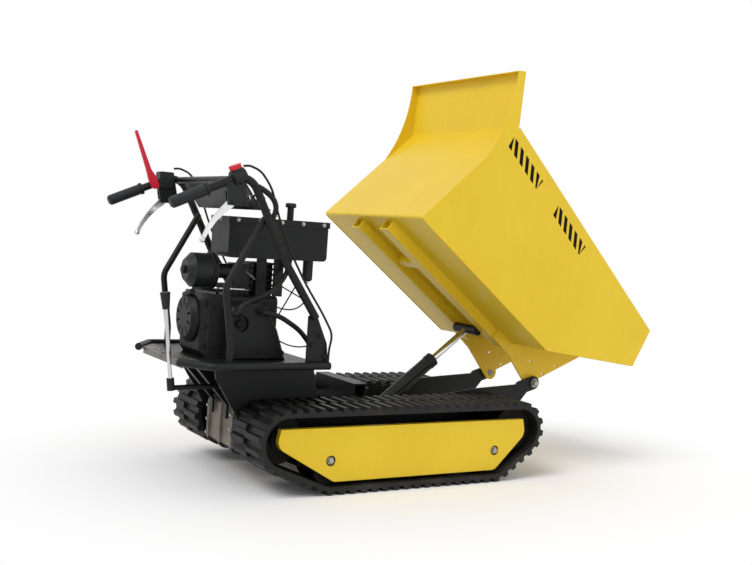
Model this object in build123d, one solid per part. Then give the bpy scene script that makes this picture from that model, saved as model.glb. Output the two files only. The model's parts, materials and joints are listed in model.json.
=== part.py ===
from build123d import *
import math
import os

# Tracked mini dumper with a hydraulically tipped skip, in millimetres.
# +X points to the tipping end, +Y to the left, +Z up, and the ground is Z = 0.

# Tracks
TRACK_WIDTH = 207.0
TRACK_INNER_Y = 151.0
BELT = 14.0
LUG = 12.0
LUG_PITCH = 41.3
LUG_BASE = 25.0
LUG_TIP = 15.0
LUG_ROW_GAP = 9.0

# Wheels inside the tracks
SPROCKET_X = -561.5
SPROCKET_Z = 171.5
SPROCKET_R = 78.5
SPROCKET_WIDTH = 60.0
SPROCKET_SLOT = 36.0
TOOTH_COUNT = 9
TOOTH_R = 7.0
TOOTH_LENGTH = 40.0
TOOTH_SINK = 12.0
HUB_WALL = 16.0
HUB_REACH = 45.0
HUB_GAP = 2.0
IDLER_X = 342.0
IDLER_Z = 174.0
IDLER_R = 76.0
IDLER_WIDTH = 110.0
IDLER_GROOVE = 36.0
IDLER_GROOVE_DEPTH = 16.0
ROLLER_R = 45.0
ROLLER_REAR_X = -402.0
ROLLER_FRONT_X = 245.0
ROLLER_COUNT = 5
ROLLER_WIDTH = 120.0
ROLLER_GROOVE = 30.0
ROLLER_GROOVE_DEPTH = 14.0
WHEEL_GAP = 0.3
AXLE_R = 17.5
PIN_R = 11.0

# Track frames and their side covers
COVER_OUT_Y = 341.0
COVER_SHEET = 4.0
COVER_LIP = 22.0
COVER_TOP_Z = 212.0
COVER_LOW_Z = 39.0
COVER_REAR_X = -582.0
COVER_FRONT_X = 363.0
COVER_LOW_REAR_X = -387.0
COVER_LOW_FRONT_X = 250.0
COVER_NOSE = 12.0
COVER_NOSE_Z = 158.0
COVER_NOSE_R = 40.0
COVER_CORNER_R = 26.0
COVER_HOLE_R = 17.0
COVER_HOLE_Z = 107.0
EAR_WIDTH = 40.0
EAR_PLATE = 8.0
FRAME_IN_Y = 158.0
FRAME_PLATE = 5.0
FRAME_MARGIN = 18.0
BEAM_TOP_Z = 186.0
BEAM_LOW_Z = 126.0
BEAM_REAR_X = -390.0
BEAM_FRONT_X = 235.0

# Operator platform
DECK_TOP_Z = 400.0
DECK_SHEET = 4.0
DECK_HALF_WIDTH = 282.0
DECK_REAR_X = -850.0
DECK_FRONT_X = -402.0
DECK_CORNER_X = 70.0
DECK_CORNER_Y = 105.0
STEP_LENGTH = 66.0
STEP_LIP = 20.0
STEP_HOLE_R = 9.0
STEP_HOLE_INSET = 20.0
STEP_HOLE_ROWS = 2
STEP_HOLE_COUNT = 7
STEP_ROW_PITCH = 30.0
STEP_HOLE_PITCH = 42.0
STEP_STAGGER = 12.0
RAIL_TUBE_R = 12.0
RAIL_TUBE_SINK = 2.0
RAIL_TUBE_CLEAR = 5.0
RAIL_TUBE_BEND = 30.0
STRUT_Y = 58.0
STRUT_WIDTH = 22.0
STRUT_SHEET = 8.0
STRUT_FOOT = 24.0
STRUT_BEND = 12.0
STRUT_TOP_X = -776.0
STRUT_LOW_Z = 222.0

# Chassis between the tracks
SIDE_PLATE_Y = 136.0
SIDE_PLATE = 8.0
PLATE_TOP_Z = DECK_TOP_Z - DECK_SHEET
PLATE_REAR_X = -733.0
PLATE_KNEE_X = -722.0
PLATE_KNEE_Z = 340.0
PLATE_HEEL_X = -640.0
PLATE_HEEL_Z = 212.0
PLATE_LOW_Z = 112.0
PLATE_LOW_REAR_X = -600.0
PLATE_LOW_FRONT_X = 252.0
PLATE_TOE_X = 300.0
PLATE_TOE_Z = 150.0
PLATE_WAIST_Z = 232.0
PLATE_WAIST_X = -120.0
POST_FRONT_X = -384.0
POST_FOOT_X = -345.0
AXLE_CLEARANCE = 8.0
ARM_LOW_BACK = 61.0
ARM_LOW_DROP = 69.0
ARM_TOP_BACK = 296.0
ARM_TOP_DROP = 17.0
ARM_NOSE_R = 25.0
BEAM_SIZE = 60.0
BEAM_WALL = 5.0
BEAM_Z = 156.0
REAR_BEAM_X = -300.0
FRONT_BEAM_X = 170.0
REST_X = -190.0
REST_WIDTH = 50.0
REST_WALL = 5.0
REST_GAP = 6.0

# Gearbox, slung between the side plates
GEAR_REAR_X = -640.0
GEAR_FRONT_X = -470.0
GEAR_HALF_WIDTH = 104.0
GEAR_LOW_Z = 88.0
GEAR_TOP_Z = 250.0
GEAR_CORNER_R = 26.0
GEAR_FLANGE = 14.0
GEAR_FLANGE_RISE = 9.0
GEAR_BOSS_R = 52.0

# Skip, in its own frame: U along the floor from the rear bottom edge, W square to it
SKIP_HALF_WIDTH = 330.7
SHEET = 3.0
FOLD_R = 8.0
BACK_FOOT = 24.0
FLOOR_LENGTH = 721.0
CHUTE_RUN = 376.0
CHUTE_RISE = 211.0
FRONT_RAKE = 19.0
FRONT_TOP_W = 359.0
BACK_TOP_U = 94.5
BACK_TOP_W = 489.0
GUARD_BACK = 104.5
GUARD_RISE = 158.0
GUARD_LIP_BACK = 21.8
GUARD_LIP_DROP = 17.4
GUSSET_LOW_W = 330.0
GUSSET_BOW = 24.0
RIM_R = 10.0
RIM_END = 12.0
TIP_ANGLE = 37.24
HINGE_X = 566.0
HINGE_Z = 305.0
HINGE_AHEAD = 176.6
HINGE_DROP = 52.2
HINGE_PIN_R = 12.0
HINGE_PIN_HEAD = 5.0
HINGE_PIN_LIP = 6.0
HINGE_PIN_GRIP = 16.0
HINGE_PLAY = 0.3
HINGE_PLATE_Y = 122.0
HINGE_PLATE = 8.0
HINGE_NOSE_R = 27.0
HINGE_PLATE_LAP = 60.0
HINGE_PLATE_REACH = 309.0
BOLT_HOLE_R = 5.5
BOLT_HOLES = [(-56.9, 57.2), (23.0, 57.2), (54.1, 118.6)]
RAIL_DEPTH = 36.0
RAIL_WIDTH = 50.0
RAIL_WALL = 4.0
RAIL_OUT_Y = 122.0
RAIL_REAR_U = 28.0
RAIL_FRONT_GAP = 21.0
TIE_U = 230.0
TIE_WIDTH = 32.0
TIE_DEPTH = 24.0

# Tipping cylinder
CYL_BASE_X = -50.0
CYL_BASE_Z = 192.0
EYE_BEHIND = 289.9
EYE_DROP = 37.6
EYE_R = 18.0
EYE_LENGTH = 134.0
BARREL_R = 25.0
BARREL_LENGTH = 308.0
BARREL_START = 36.0
BARREL_FLOOR = 12.0
NECK_R = 16.0
COLLAR_R = 27.0
COLLAR_LENGTH = 24.0
ROD_R = 12.5
ROD_GAP = 0.4
ROD_TAIL = 200.0
CYL_PIN_R = 10.0
CYL_PIN_PLAY = 0.3
CYL_PIN_END = 6.0
LINE_R = 4.0
LINE_STANDOFF = 6.0
LINE_BEND = 5.0
LINE_SEAT = 0.2
LINE_TOP = 268.0
LINE_LOW = 70.0
BASE_EYE_R = 22.0
BASE_EYE_WIDTH = 44.0
MOUNT_PLATE = 8.0
MOUNT_GAP = 1.0
MOUNT_HALF = 40.0
MOUNT_NOSE_R = 26.0
MOUNT_LOW_Z = 112.0
MOUNT_FLOOR = 12.0

# Handlebars
BAR_OUTSET = 9.0
BAR_Y = DECK_HALF_WIDTH + BAR_OUTSET
BAR_R = 12.5
BAR_BEND = 60.0
GRIP_R = 16.5
GRIP_LENGTH = 122.0
GRIP_CAP = 8.0
GRIP_COLLAR_R = 20.0
GRIP_COLLAR = 7.0
GRIP_REAR_X = -959.0
GRIP_REAR_Z = 876.0
BAR_SHOULDER_X = -716.0
BAR_SHOULDER_Z = 985.0
BAR_KNEE_X = -577.0
BAR_KNEE_Z = 718.0
BAR_FOOT_X = -462.0
BAR_FOOT_Z = 551.0
GRIP_LEAN = math.degrees(math.atan2(BAR_SHOULDER_Z - GRIP_REAR_Z, BAR_SHOULDER_X - GRIP_REAR_X))
BRACE_R = 10.5
BRACE_BEND = 60.0
BRACE_KNEE_X = -762.0
BRACE_KNEE_Z = 640.0
BRACE_FOOT_X = -735.0
BRACE_FOOT_RISE = 60.0
FOOT_LENGTH = 80.0
FOOT_HEAD = 30.0
FOOT_HEAD_X = -480.0
FOOT_RISE = 157.0
FOOT_WAIST = 70.0
FOOT_SHEET = 6.0
FOOT_FLANGE = 44.0
CROSSBAR_X = -723.0
CROSSBAR_Z = 964.0
CROSSBAR_R = 11.0
CONSOLE_INSET = 30.0
CONSOLE_SHEET = 5.0
CONSOLE_RUN = 70.0
CONSOLE_DROP = 94.0
CONSOLE_TRAY = 32.0

# Controls, placed along the grip's axis from its rear end and square to it
CONTROL_SPOT = 209.0
CLAMP_HALF = 31.0
CLAMP_WIDTH = 22.0
CLAMP_DROP = 92.0
CLAMP_REAR_DROP = 66.0
CLAMP_LEAN = 14.0
FORK_SLOT = 10.0
FORK_PLAY = 0.3
FORK_TOP = 26.0
LEVER_STATIONS = [(172, -66, 12), (142, -76, 9.5), (112, -90, 7.5), (80, -110, 6), (54, -133, 5)]
LEVER_BALL_R = 9.0
BLOCK_LENGTH = 50.0
BLOCK_WIDTH = 40.0
BLOCK_HEIGHT = 54.0
BLOCK_R = 6.0
DRIVE_PLATE = 9.0
DRIVE_SEAT = 0.3
DRIVE_STATIONS = [(166, 186, 4.5), (161, 50, 8.5), (163, 24, 14), (164, -2, 14)]
SWITCH_R = 23.0
SWITCH_LENGTH = 42.0
SWITCH_SPOT = 226.0
BUTTON_R = 19.0
BUTTON_RISE = 25.0
BUTTON_HEIGHT = 12.0
STICK_R = 6.5
STICK_Y = -110.0
STICK_TOP_X = -886.0
STICK_TOP_Z = 554.0
STICK_LOW_X = -857.0
STICK_LOW_Z = 318.0
KNOB_R = 16.0
KNOB_NECK_R = 11.0
KNOB_LENGTH = 52.0
SHIFT_R = 8.0
SHIFT_BUSH_R = 12.0
SHIFT_BUSH = 22.0
SHIFT_X = -612.0
SHIFT_BEND = 24.0

# Engine bay
ENGINE_Y = 0.0
CRANK_Z = 521.0
BLOWER_REAR_X = -762.0
BLOWER_FRONT_X = -690.0
BLOWER_HALF_WIDTH = 105.0
BLOWER_RISE = 82.0
BLOWER_CHAMFER = 22.0
RECOIL_R = 80.0
RECOIL_RIM = 7.0
RECOIL_DEPTH = 24.0
RECOIL_SLOPE = 14.0
RECOIL_ROUND = 6.0
RECOIL_SLOTS = 10
RECOIL_SLOT_R = 48.0
RECOIL_SLOT_LENGTH = 26.0
RECOIL_SLOT_WIDTH = 7.0
RECOIL_SLOT_DEPTH = 5.0
PULL_R = 9.0
PULL_HALF = 33.0
PULL_RISE = 78.0
PULL_LEAN = 8.0
PULL_SIDE = -11.0
PULL_NECK_R = 6.0
CASE_FRONT_X = -500.0
CASE_HALF_Y = 92.0
CASE_RISE = 78.0
CASE_R = 18.0
CLEANER_R = 55.0
CLEANER_REAR_X = -800.0
CLEANER_LENGTH = 94.0
CLEANER_CHAMFER = 20.0
CLEANER_Y = -25.0
CLEANER_Z = 674.0
CLEANER_RING_R = 58.0
CLEANER_RING = 8.0
INTAKE_R = 24.0
CARB_REAR_X = -645.0
CARB_LENGTH = 62.0
CARB_WIDTH = 62.0
CARB_TOP_Z = 702.0
CARB_R = 10.0
HEAD_GAP = 4.0
HEAD_LENGTH = 88.0
HEAD_HALF_Y = 52.0
HEAD_RISE = 108.0
FIN_REACH = 10.0
FIN_SHEET = 6.0
FINS = 6
MUFFLER_LENGTH = 160.0
MUFFLER_DEPTH = 92.0
MUFFLER_LOW = -6.0
MUFFLER_HEIGHT = 110.0
MUFFLER_R = 34.0
OUTLET_R = 12.0
OUTLET_LENGTH = 26.0
DRIVE_DEPTH = 66.0
DRIVE_FRONT_X = -490.0
DRIVE_SHOULDER_X = -524.0
DRIVE_SHOULDER_Z = 495.0
DRIVE_TOP_X = -576.0
DRIVE_TOP_Z = 588.0
DRIVE_REAR_Z = 566.0
DRIVE_ROUND = 16.0
DRIVE_EDGE = 7.0
RECESS_X = -655.0
RECESS_Z = 516.0
RECESS_R = 27.0
RECESS_DEPTH = 12.0

# Hydraulic tank
TANK_REAR_X = -695.0
TANK_FRONT_X = -341.0
TANK_RIGHT_Y = -115.0
TANK_LEFT_Y = 25.0
TANK_LOW_Z = 722.0
TANK_TOP_Z = 847.0
TANK_R = 14.0
LID_SHEET = 5.0
LID_LIP = 4.0
LID_RIM = 15.0
FILLER_X = -465.0
FILLER_INSET = 40.0
FILLER_R = 11.0
FILLER_HEIGHT = 41.0
FILLER_CAP_R = 16.0
FILLER_CAP = 15.0
FILLER_CAP_EDGE = 3.0
BOWL_X = -388.0
BOWL_R = 17.0
BOWL_LENGTH = 68.0
BOWL_EDGE = 5.0
LEG_REAR_X = -572.0
LEG_PITCH = 62.0
LEG_WIDTH = 34.0
LEG_SHEET = 6.0
LEG_Y = -72.0

# Hoses and cables
HOSE_R = 8.0
CABLE_R = 3.5
CABLE_SEAT = 0.3
CABLE_ROUND = 0.45

NODES = {}
BASE_UP = (Align.CENTER, Align.CENTER, Align.MIN)


def plate(outline, y_start, thickness):
    """Extrude an outline drawn in X and Z from y_start towards +Y."""
    face = Plane.XZ.offset(-y_start) * outline
    return extrude(face, amount=thickness, dir=(0, 1, 0))


def slab(outline, z_start, thickness):
    """Extrude an outline drawn in X and Y upwards from z_start."""
    return extrude(Plane.XY.offset(z_start) * outline, amount=thickness, dir=(0, 0, 1))


def shape(*points):
    """A closed polygon through points."""
    return make_face(Polyline(*points, close=True))


def round_at(outline, point, radius):
    """An outline with the corner nearest to point rounded."""
    return fillet(outline.vertices().sort_by_distance((*point, 0))[0], radius)


def bar_y(x, z, y_start, y_end, radius):
    """A round bar along Y."""
    return plate(Pos(x, z) * Circle(radius), y_start, y_end - y_start)


def block(x0, x1, y0, y1, z0, z1):
    """A box between two corners."""
    centre = Pos((x0 + x1) / 2, (y0 + y1) / 2, (z0 + z1) / 2)
    return centre * Box(abs(x1 - x0), abs(y1 - y0), abs(z1 - z0))


def turned(*profile):
    """A body of revolution about Z from points of (radius, height)."""
    return revolve(Plane.XZ * shape(*profile), axis=Axis.Z)


def tube(points, radius, bend=1.0):
    """A round bar along straight runs joined by tangent arcs of radius bend."""
    path = FilletPolyline(*points, radius=bend) if len(points) > 2 else Line(*points)
    profile = Plane(origin=path @ 0, z_dir=path % 0) * Circle(radius)
    return sweep(profile, path=path)


def strap(points, width, thickness, bend):
    """A flat bar, wide along Y, along straight runs joined by arcs."""
    path = FilletPolyline(*points, radius=bend)
    profile = Plane(origin=path @ 0, z_dir=path % 0, x_dir=(0, 1, 0)) * Rectangle(width, thickness)
    return sweep(profile, path=path)


def cable(points, radius):
    """A flexible line along points, with each corner rounded as far as its two runs allow."""
    bends = []
    for before, corner, after in zip(points, points[1:], points[2:]):
        run_in = Vector(*corner) - Vector(*before)
        run_out = Vector(*after) - Vector(*corner)
        half_turn = math.radians(run_in.get_angle(run_out)) / 2
        bends.append(CABLE_ROUND * min(run_in.length, run_out.length) / math.tan(half_turn))
    path = FilletPolyline(*points, radius=bends)
    return sweep(Plane(origin=path @ 0, z_dir=path % 0) * Circle(radius), path=path)


def tapered(stations):
    """The outline that wraps a chain of circles, each given as (x, z, radius)."""
    outline = Sketch()
    for start, end in zip(stations, stations[1:]):
        rings = [Pos(x, z) * Circle(radius) for x, z, radius in (start, end)]
        outline += make_hull([edge for ring in rings for edge in ring.edges()])
    return outline


def shifted(corners, distance):
    """An open run of corners moved to its left by distance, with mitred corners."""
    normals = []
    for start, end in zip(corners, corners[1:]):
        span = math.dist(start, end)
        normals.append(((start[1] - end[1]) / span, (end[0] - start[0]) / span))
    moved = []
    for corner, before, after in zip(corners, normals[:1] + normals, normals + normals[-1:]):
        share = distance / (1 + before[0] * after[0] + before[1] * after[1])
        moved.append(tuple(corner[i] + (before[i] + after[i]) * share for i in range(2)))
    return moved


def other_side(part):
    """The mirrored copy of a part on the other side of the machine."""
    return mirror(part, about=Plane.XZ)


def add_pair(name, right):
    """Keep a right-hand part and its left-hand mirror image as two nodes."""
    NODES[name + "_right"] = right
    NODES[name + "_left"] = other_side(right)


def add_both(name, right):
    """Keep a right-hand part and its mirror image as two solids of one node."""
    NODES[name] = Compound(children=[*right.solids(), *other_side(right).solids()])


# Track loop: the belt runs round four circles and is drawn counter-clockwise in X and Z
ROLLER_Z = BELT + LUG + ROLLER_R
LOOP_CIRCLES = [
    (SPROCKET_X, SPROCKET_Z, SPROCKET_R),
    (ROLLER_REAR_X, ROLLER_Z, ROLLER_R),
    (ROLLER_FRONT_X, ROLLER_Z, ROLLER_R),
    (IDLER_X, IDLER_Z, IDLER_R),
]


def tangent_runs(grow):
    """Straight runs of the loop, each with its unit normal and the circle that it leads to."""
    runs = []
    for start, end in zip(LOOP_CIRCLES, LOOP_CIRCLES[1:] + LOOP_CIRCLES[:1]):
        dx = end[0] - start[0]
        dz = end[1] - start[1]
        span = math.hypot(dx, dz)
        lean = (start[2] - end[2]) / span
        side = math.sqrt(1 - lean**2)
        normal = ((dx * lean + dz * side) / span, (dz * lean - dx * side) / span)
        leave = tuple(start[i] + normal[i] * (start[2] + grow) for i in range(2))
        reach = tuple(end[i] + normal[i] * (end[2] + grow) for i in range(2))
        runs.append((leave, reach, normal, end))
    return runs


def loop_face(grow):
    """The area inside the loop at a distance grow outside its wheels."""
    runs = tangent_runs(grow)
    edges = []
    for run, following in zip(runs, runs[1:] + runs[:1]):
        leave, reach, normal, wheel = run
        middle = [normal[i] + following[2][i] for i in range(2)]
        length = math.hypot(*middle)
        crest = tuple(wheel[i] + middle[i] / length * (wheel[2] + grow) for i in range(2))
        edges.append(Line(leave, reach))
        edges.append(ThreePointArc(reach, crest, following[0]))
    return make_face(edges)


def loop_stations(grow):
    """Stretches of the loop as (length, function from a distance to a point and its normal)."""
    stretches = []
    runs = tangent_runs(grow)
    for run, following in zip(runs, runs[1:] + runs[:1]):
        leave, reach, normal, wheel = run
        straight = math.dist(leave, reach)
        first = math.atan2(normal[1], normal[0])
        turn = (math.atan2(following[2][1], following[2][0]) - first) % (2 * math.pi)
        radius = wheel[2] + grow

        def on_line(s, leave=leave, reach=reach, normal=normal, straight=straight):
            share = s / straight
            return [leave[i] + (reach[i] - leave[i]) * share for i in range(2)], normal

        def on_arc(s, wheel=wheel, first=first, radius=radius):
            out = (math.cos(first + s / radius), math.sin(first + s / radius))
            return [wheel[i] + out[i] * radius for i in range(2)], out

        stretches.append((straight, on_line))
        stretches.append((radius * turn, on_arc))
    return stretches


def toothed_face(phase):
    """The loop's area with a row of lugs round it, moved on by phase of a pitch."""
    stretches = loop_stations(BELT)
    total = sum(length for length, _ in stretches)
    count = round(total / LUG_PITCH)
    pitch = total / count

    def station(s):
        s %= total
        for length, place in stretches:
            if s <= length:
                return place(s)
            s -= length
        return stretches[-1][1](stretches[-1][0])

    points = []
    for k in range(count):
        centre = (k + phase) * pitch
        for offset_along, height in ((-LUG_BASE, 0), (-LUG_TIP, LUG), (LUG_TIP, LUG), (LUG_BASE, 0)):
            foot, normal = station(centre + offset_along / 2)
            points.append((foot[0] + normal[0] * height, foot[1] + normal[1] * height))
    return shape(*points)


def make_tracks():
    """Rubber tracks: a belt with two staggered rows of lugs."""
    inside = loop_face(0)
    row = (TRACK_WIDTH - LUG_ROW_GAP) / 2
    outer_y = -TRACK_INNER_Y - TRACK_WIDTH
    rows = plate(toothed_face(0) - inside, outer_y, row)
    rows += plate(toothed_face(0.5) - inside, outer_y + row + LUG_ROW_GAP, row)
    rows += plate(loop_face(BELT) - inside, outer_y + row, LUG_ROW_GAP)
    add_pair("track", rows)


def frame_outline():
    """Outline of the track frame's inner plate, which follows the loop at its ends."""
    window = Pos((SPROCKET_X + IDLER_X) / 2, (COVER_TOP_Z + COVER_LOW_Z) / 2) * Rectangle(
        IDLER_X - SPROCKET_X + 4 * SPROCKET_R, COVER_TOP_Z - COVER_LOW_Z)
    return loop_face(-FRAME_MARGIN) & window


def cover_outline():
    """Outline of the track's side cover: a long trapezium with a round nose at each end."""
    noses = [(COVER_REAR_X - COVER_NOSE, COVER_NOSE_Z), (COVER_FRONT_X + COVER_NOSE, COVER_NOSE_Z)]
    feet = [(COVER_LOW_REAR_X, COVER_LOW_Z), (COVER_LOW_FRONT_X, COVER_LOW_Z)]
    outline = shape((COVER_REAR_X, COVER_TOP_Z), noses[0], *feet, noses[1], (COVER_FRONT_X, COVER_TOP_Z))
    for point in noses:
        outline = round_at(outline, point, COVER_NOSE_R)
    for point in feet:
        outline = round_at(outline, point, COVER_CORNER_R)
    return outline


def roller_places():
    """X of each road roller."""
    step = (ROLLER_FRONT_X - ROLLER_REAR_X) / (ROLLER_COUNT - 1)
    return [ROLLER_REAR_X + k * step for k in range(ROLLER_COUNT)]


def grooved_wheel(x, z, radius, width, groove, depth):
    """A wheel on the track's middle line with a groove round it, on its pin."""
    middle = -TRACK_INNER_Y - TRACK_WIDTH / 2
    wheel = bar_y(x, z, middle - width / 2, middle + width / 2, radius - WHEEL_GAP)
    ring = bar_y(x, z, middle - groove / 2, middle + groove / 2, radius)
    ring -= bar_y(x, z, middle - groove / 2, middle + groove / 2, radius - depth)
    return wheel - ring + bar_y(x, z, -COVER_OUT_Y + COVER_SHEET, -FRAME_IN_Y, PIN_R)


def make_undercarriage():
    """Track frames, covers, sprockets, idlers and rollers inside the loops."""
    cover_back = COVER_OUT_Y - COVER_SHEET
    ends = [roller_places()[0], roller_places()[-1]]
    pan = plate(cover_outline(), -COVER_OUT_Y, COVER_LIP)
    cover = offset(pan, amount=-COVER_SHEET, openings=pan.faces().sort_by(Axis.Y)[-1])
    for x in ends:
        cover -= bar_y(x, COVER_HOLE_Z, -COVER_OUT_Y, -cover_back, COVER_HOLE_R)
    add_pair("side_cover", cover)

    frame = plate(frame_outline(), -FRAME_IN_Y - FRAME_PLATE, FRAME_PLATE)
    frame += block(BEAM_REAR_X, BEAM_FRONT_X, -cover_back, -FRAME_IN_Y - FRAME_PLATE, BEAM_LOW_Z, BEAM_TOP_Z)
    for x in ends:
        frame += block(x - EAR_WIDTH / 2, x + EAR_WIDTH / 2, -cover_back, -cover_back + EAR_PLATE,
                       COVER_HOLE_Z - EAR_WIDTH / 2, BEAM_TOP_Z)
    for x in roller_places():
        frame -= bar_y(x, ROLLER_Z, -COVER_OUT_Y, 0, PIN_R)
    frame -= bar_y(IDLER_X, IDLER_Z, -COVER_OUT_Y, 0, PIN_R)
    frame -= bar_y(SPROCKET_X, SPROCKET_Z, -COVER_OUT_Y, 0, AXLE_R + WHEEL_GAP)
    add_pair("track_frame", frame)

    rollers = []
    for x in roller_places():
        rollers.append(grooved_wheel(x, ROLLER_Z, ROLLER_R, ROLLER_WIDTH, ROLLER_GROOVE, ROLLER_GROOVE_DEPTH))
    add_pair("road_rollers", Part() + rollers)
    idler = grooved_wheel(IDLER_X, IDLER_Z, IDLER_R, IDLER_WIDTH, IDLER_GROOVE, IDLER_GROOVE_DEPTH)
    add_both("idler_wheels", idler)

    middle = -TRACK_INNER_Y - TRACK_WIDTH / 2
    hub_r = AXLE_R + HUB_WALL
    centre = (SPROCKET_X, SPROCKET_Z)
    half = SPROCKET_WIDTH / 2
    slot = SPROCKET_SLOT / 2
    sprocket = bar_y(*centre, middle - half, middle + half, SPROCKET_R - WHEEL_GAP)
    sprocket -= bar_y(*centre, middle - slot, middle + slot, SPROCKET_R)
    sprocket += bar_y(*centre, middle - HUB_REACH, -FRAME_IN_Y - FRAME_PLATE - HUB_GAP, hub_r)
    tooth = Cylinder(TOOTH_R, TOOTH_LENGTH, rotation=(90, 0, 0))
    for k in range(TOOTH_COUNT):
        spot = Rot(0, k * 360 / TOOTH_COUNT, 0) * Pos(0, middle, SPROCKET_R - TOOTH_SINK)
        sprocket += Pos(SPROCKET_X, 0, SPROCKET_Z) * spot * tooth
    sprocket -= bar_y(*centre, -COVER_OUT_Y, 0, AXLE_R)
    add_both("drive_sprockets", sprocket)
    reach = HUB_REACH - middle
    NODES["drive_axle"] = bar_y(SPROCKET_X, SPROCKET_Z, -reach, reach, AXLE_R)


def make_chassis():
    """Side plates that carry the platform and the hinge, and what ties them together."""
    side = shape(
        (PLATE_REAR_X, PLATE_TOP_Z), (PLATE_KNEE_X, PLATE_KNEE_Z), (PLATE_HEEL_X, PLATE_HEEL_Z),
        (PLATE_LOW_REAR_X, PLATE_LOW_Z), (PLATE_LOW_FRONT_X, PLATE_LOW_Z), (PLATE_TOE_X, PLATE_TOE_Z),
        (HINGE_X - ARM_LOW_BACK, HINGE_Z - ARM_LOW_DROP), (HINGE_X, HINGE_Z),
        (HINGE_X - ARM_TOP_BACK, HINGE_Z - ARM_TOP_DROP), (PLATE_WAIST_X, PLATE_WAIST_Z),
        (POST_FOOT_X, PLATE_WAIST_Z), (POST_FRONT_X, PLATE_TOP_Z))
    side += tapered([(HINGE_X, HINGE_Z, ARM_NOSE_R),
                     (HINGE_X - ARM_LOW_BACK, HINGE_Z - ARM_TOP_DROP, ARM_NOSE_R)])
    side -= Pos(HINGE_X, HINGE_Z) * Circle(HINGE_PIN_R)
    for x in (REAR_BEAM_X, FRONT_BEAM_X):
        side -= Pos(x, BEAM_Z) * Rectangle(BEAM_SIZE, BEAM_SIZE)
    side -= Pos(SPROCKET_X, SPROCKET_Z) * Circle(AXLE_R + AXLE_CLEARANCE)
    add_pair("chassis_plate", plate(side, -SIDE_PLATE_Y - SIDE_PLATE, SIDE_PLATE))

    bore = BEAM_SIZE - 2 * BEAM_WALL
    ring = Rectangle(BEAM_SIZE, BEAM_SIZE) - Rectangle(bore, bore)
    beams = []
    for x in (REAR_BEAM_X, FRONT_BEAM_X):
        beams += plate(Pos(x, BEAM_Z) * ring, -FRAME_IN_Y, 2 * FRAME_IN_Y).solids()
    NODES["cross_beams"] = Compound(children=beams)

    rest_top = HINGE_Z + HINGE_DROP - RAIL_DEPTH - REST_GAP
    half = REST_WIDTH / 2
    channel = [(REST_X - half, PLATE_WAIST_Z), (REST_X - half, rest_top), (REST_X + half, rest_top),
               (REST_X + half, PLATE_WAIST_Z)]
    inside = shifted(channel, -REST_WALL)
    NODES["skip_rest"] = plate(shape(*channel, *reversed(inside)), -SIDE_PLATE_Y, 2 * SIDE_PLATE_Y)
    for side_y in (-SIDE_PLATE_Y, SIDE_PLATE_Y - REST_WALL):
        NODES["skip_rest"] += block(REST_X - half, REST_X + half, side_y, side_y + REST_WALL,
                                   PLATE_LOW_Z + BEAM_SIZE, PLATE_WAIST_Z)

    outside = -SIDE_PLATE_Y - SIDE_PLATE
    pin = bar_y(HINGE_X, HINGE_Z, outside, -SIDE_PLATE_Y + HINGE_PIN_GRIP, HINGE_PIN_R)
    pin += bar_y(HINGE_X, HINGE_Z, outside - HINGE_PIN_HEAD, outside, HINGE_PIN_R + HINGE_PIN_LIP)
    add_both("hinge_pins", pin)

    half = BASE_EYE_WIDTH / 2 + MOUNT_GAP
    foot_z = MOUNT_LOW_Z + MOUNT_FLOOR
    cheek = shape((CYL_BASE_X - MOUNT_HALF, foot_z), (CYL_BASE_X + MOUNT_HALF, foot_z),
                  (CYL_BASE_X + MOUNT_NOSE_R, CYL_BASE_Z), (CYL_BASE_X - MOUNT_NOSE_R, CYL_BASE_Z))
    cheek += Pos(CYL_BASE_X, CYL_BASE_Z) * Circle(MOUNT_NOSE_R)
    mount = plate(cheek, half, MOUNT_PLATE) + plate(cheek, -half - MOUNT_PLATE, MOUNT_PLATE)
    pin_end = half + MOUNT_PLATE + CYL_PIN_END
    mount += bar_y(CYL_BASE_X, CYL_BASE_Z, -pin_end, pin_end, CYL_PIN_R)
    mount += block(CYL_BASE_X - MOUNT_HALF, CYL_BASE_X + MOUNT_HALF, -SIDE_PLATE_Y, SIDE_PLATE_Y,
                   MOUNT_LOW_Z, foot_z)
    NODES["cylinder_mount"] = mount


def make_gearbox():
    """The cast drive case: a core with three flanges round it and a boss towards each side plate."""
    mid_x = (GEAR_REAR_X + GEAR_FRONT_X) / 2
    mid_z = (GEAR_LOW_Z + GEAR_TOP_Z) / 2
    length = GEAR_FRONT_X - GEAR_REAR_X
    height = GEAR_TOP_Z - GEAR_LOW_Z
    rim = Pos(mid_x, mid_z) * RectangleRounded(length, height, GEAR_CORNER_R)
    core = Pos(mid_x, mid_z) * RectangleRounded(
        length - 2 * GEAR_FLANGE_RISE, height - 2 * GEAR_FLANGE_RISE, GEAR_CORNER_R - GEAR_FLANGE_RISE)
    case = plate(core, -GEAR_HALF_WIDTH, 2 * GEAR_HALF_WIDTH)
    for y in (-GEAR_HALF_WIDTH, -GEAR_FLANGE / 2, GEAR_HALF_WIDTH - GEAR_FLANGE):
        case += plate(rim, y, GEAR_FLANGE)
    case += bar_y(SPROCKET_X, SPROCKET_Z, -SIDE_PLATE_Y, SIDE_PLATE_Y, GEAR_BOSS_R)
    case -= bar_y(SPROCKET_X, SPROCKET_Z, -SIDE_PLATE_Y, SIDE_PLATE_Y, AXLE_R)
    NODES["gearbox"] = case


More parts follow.
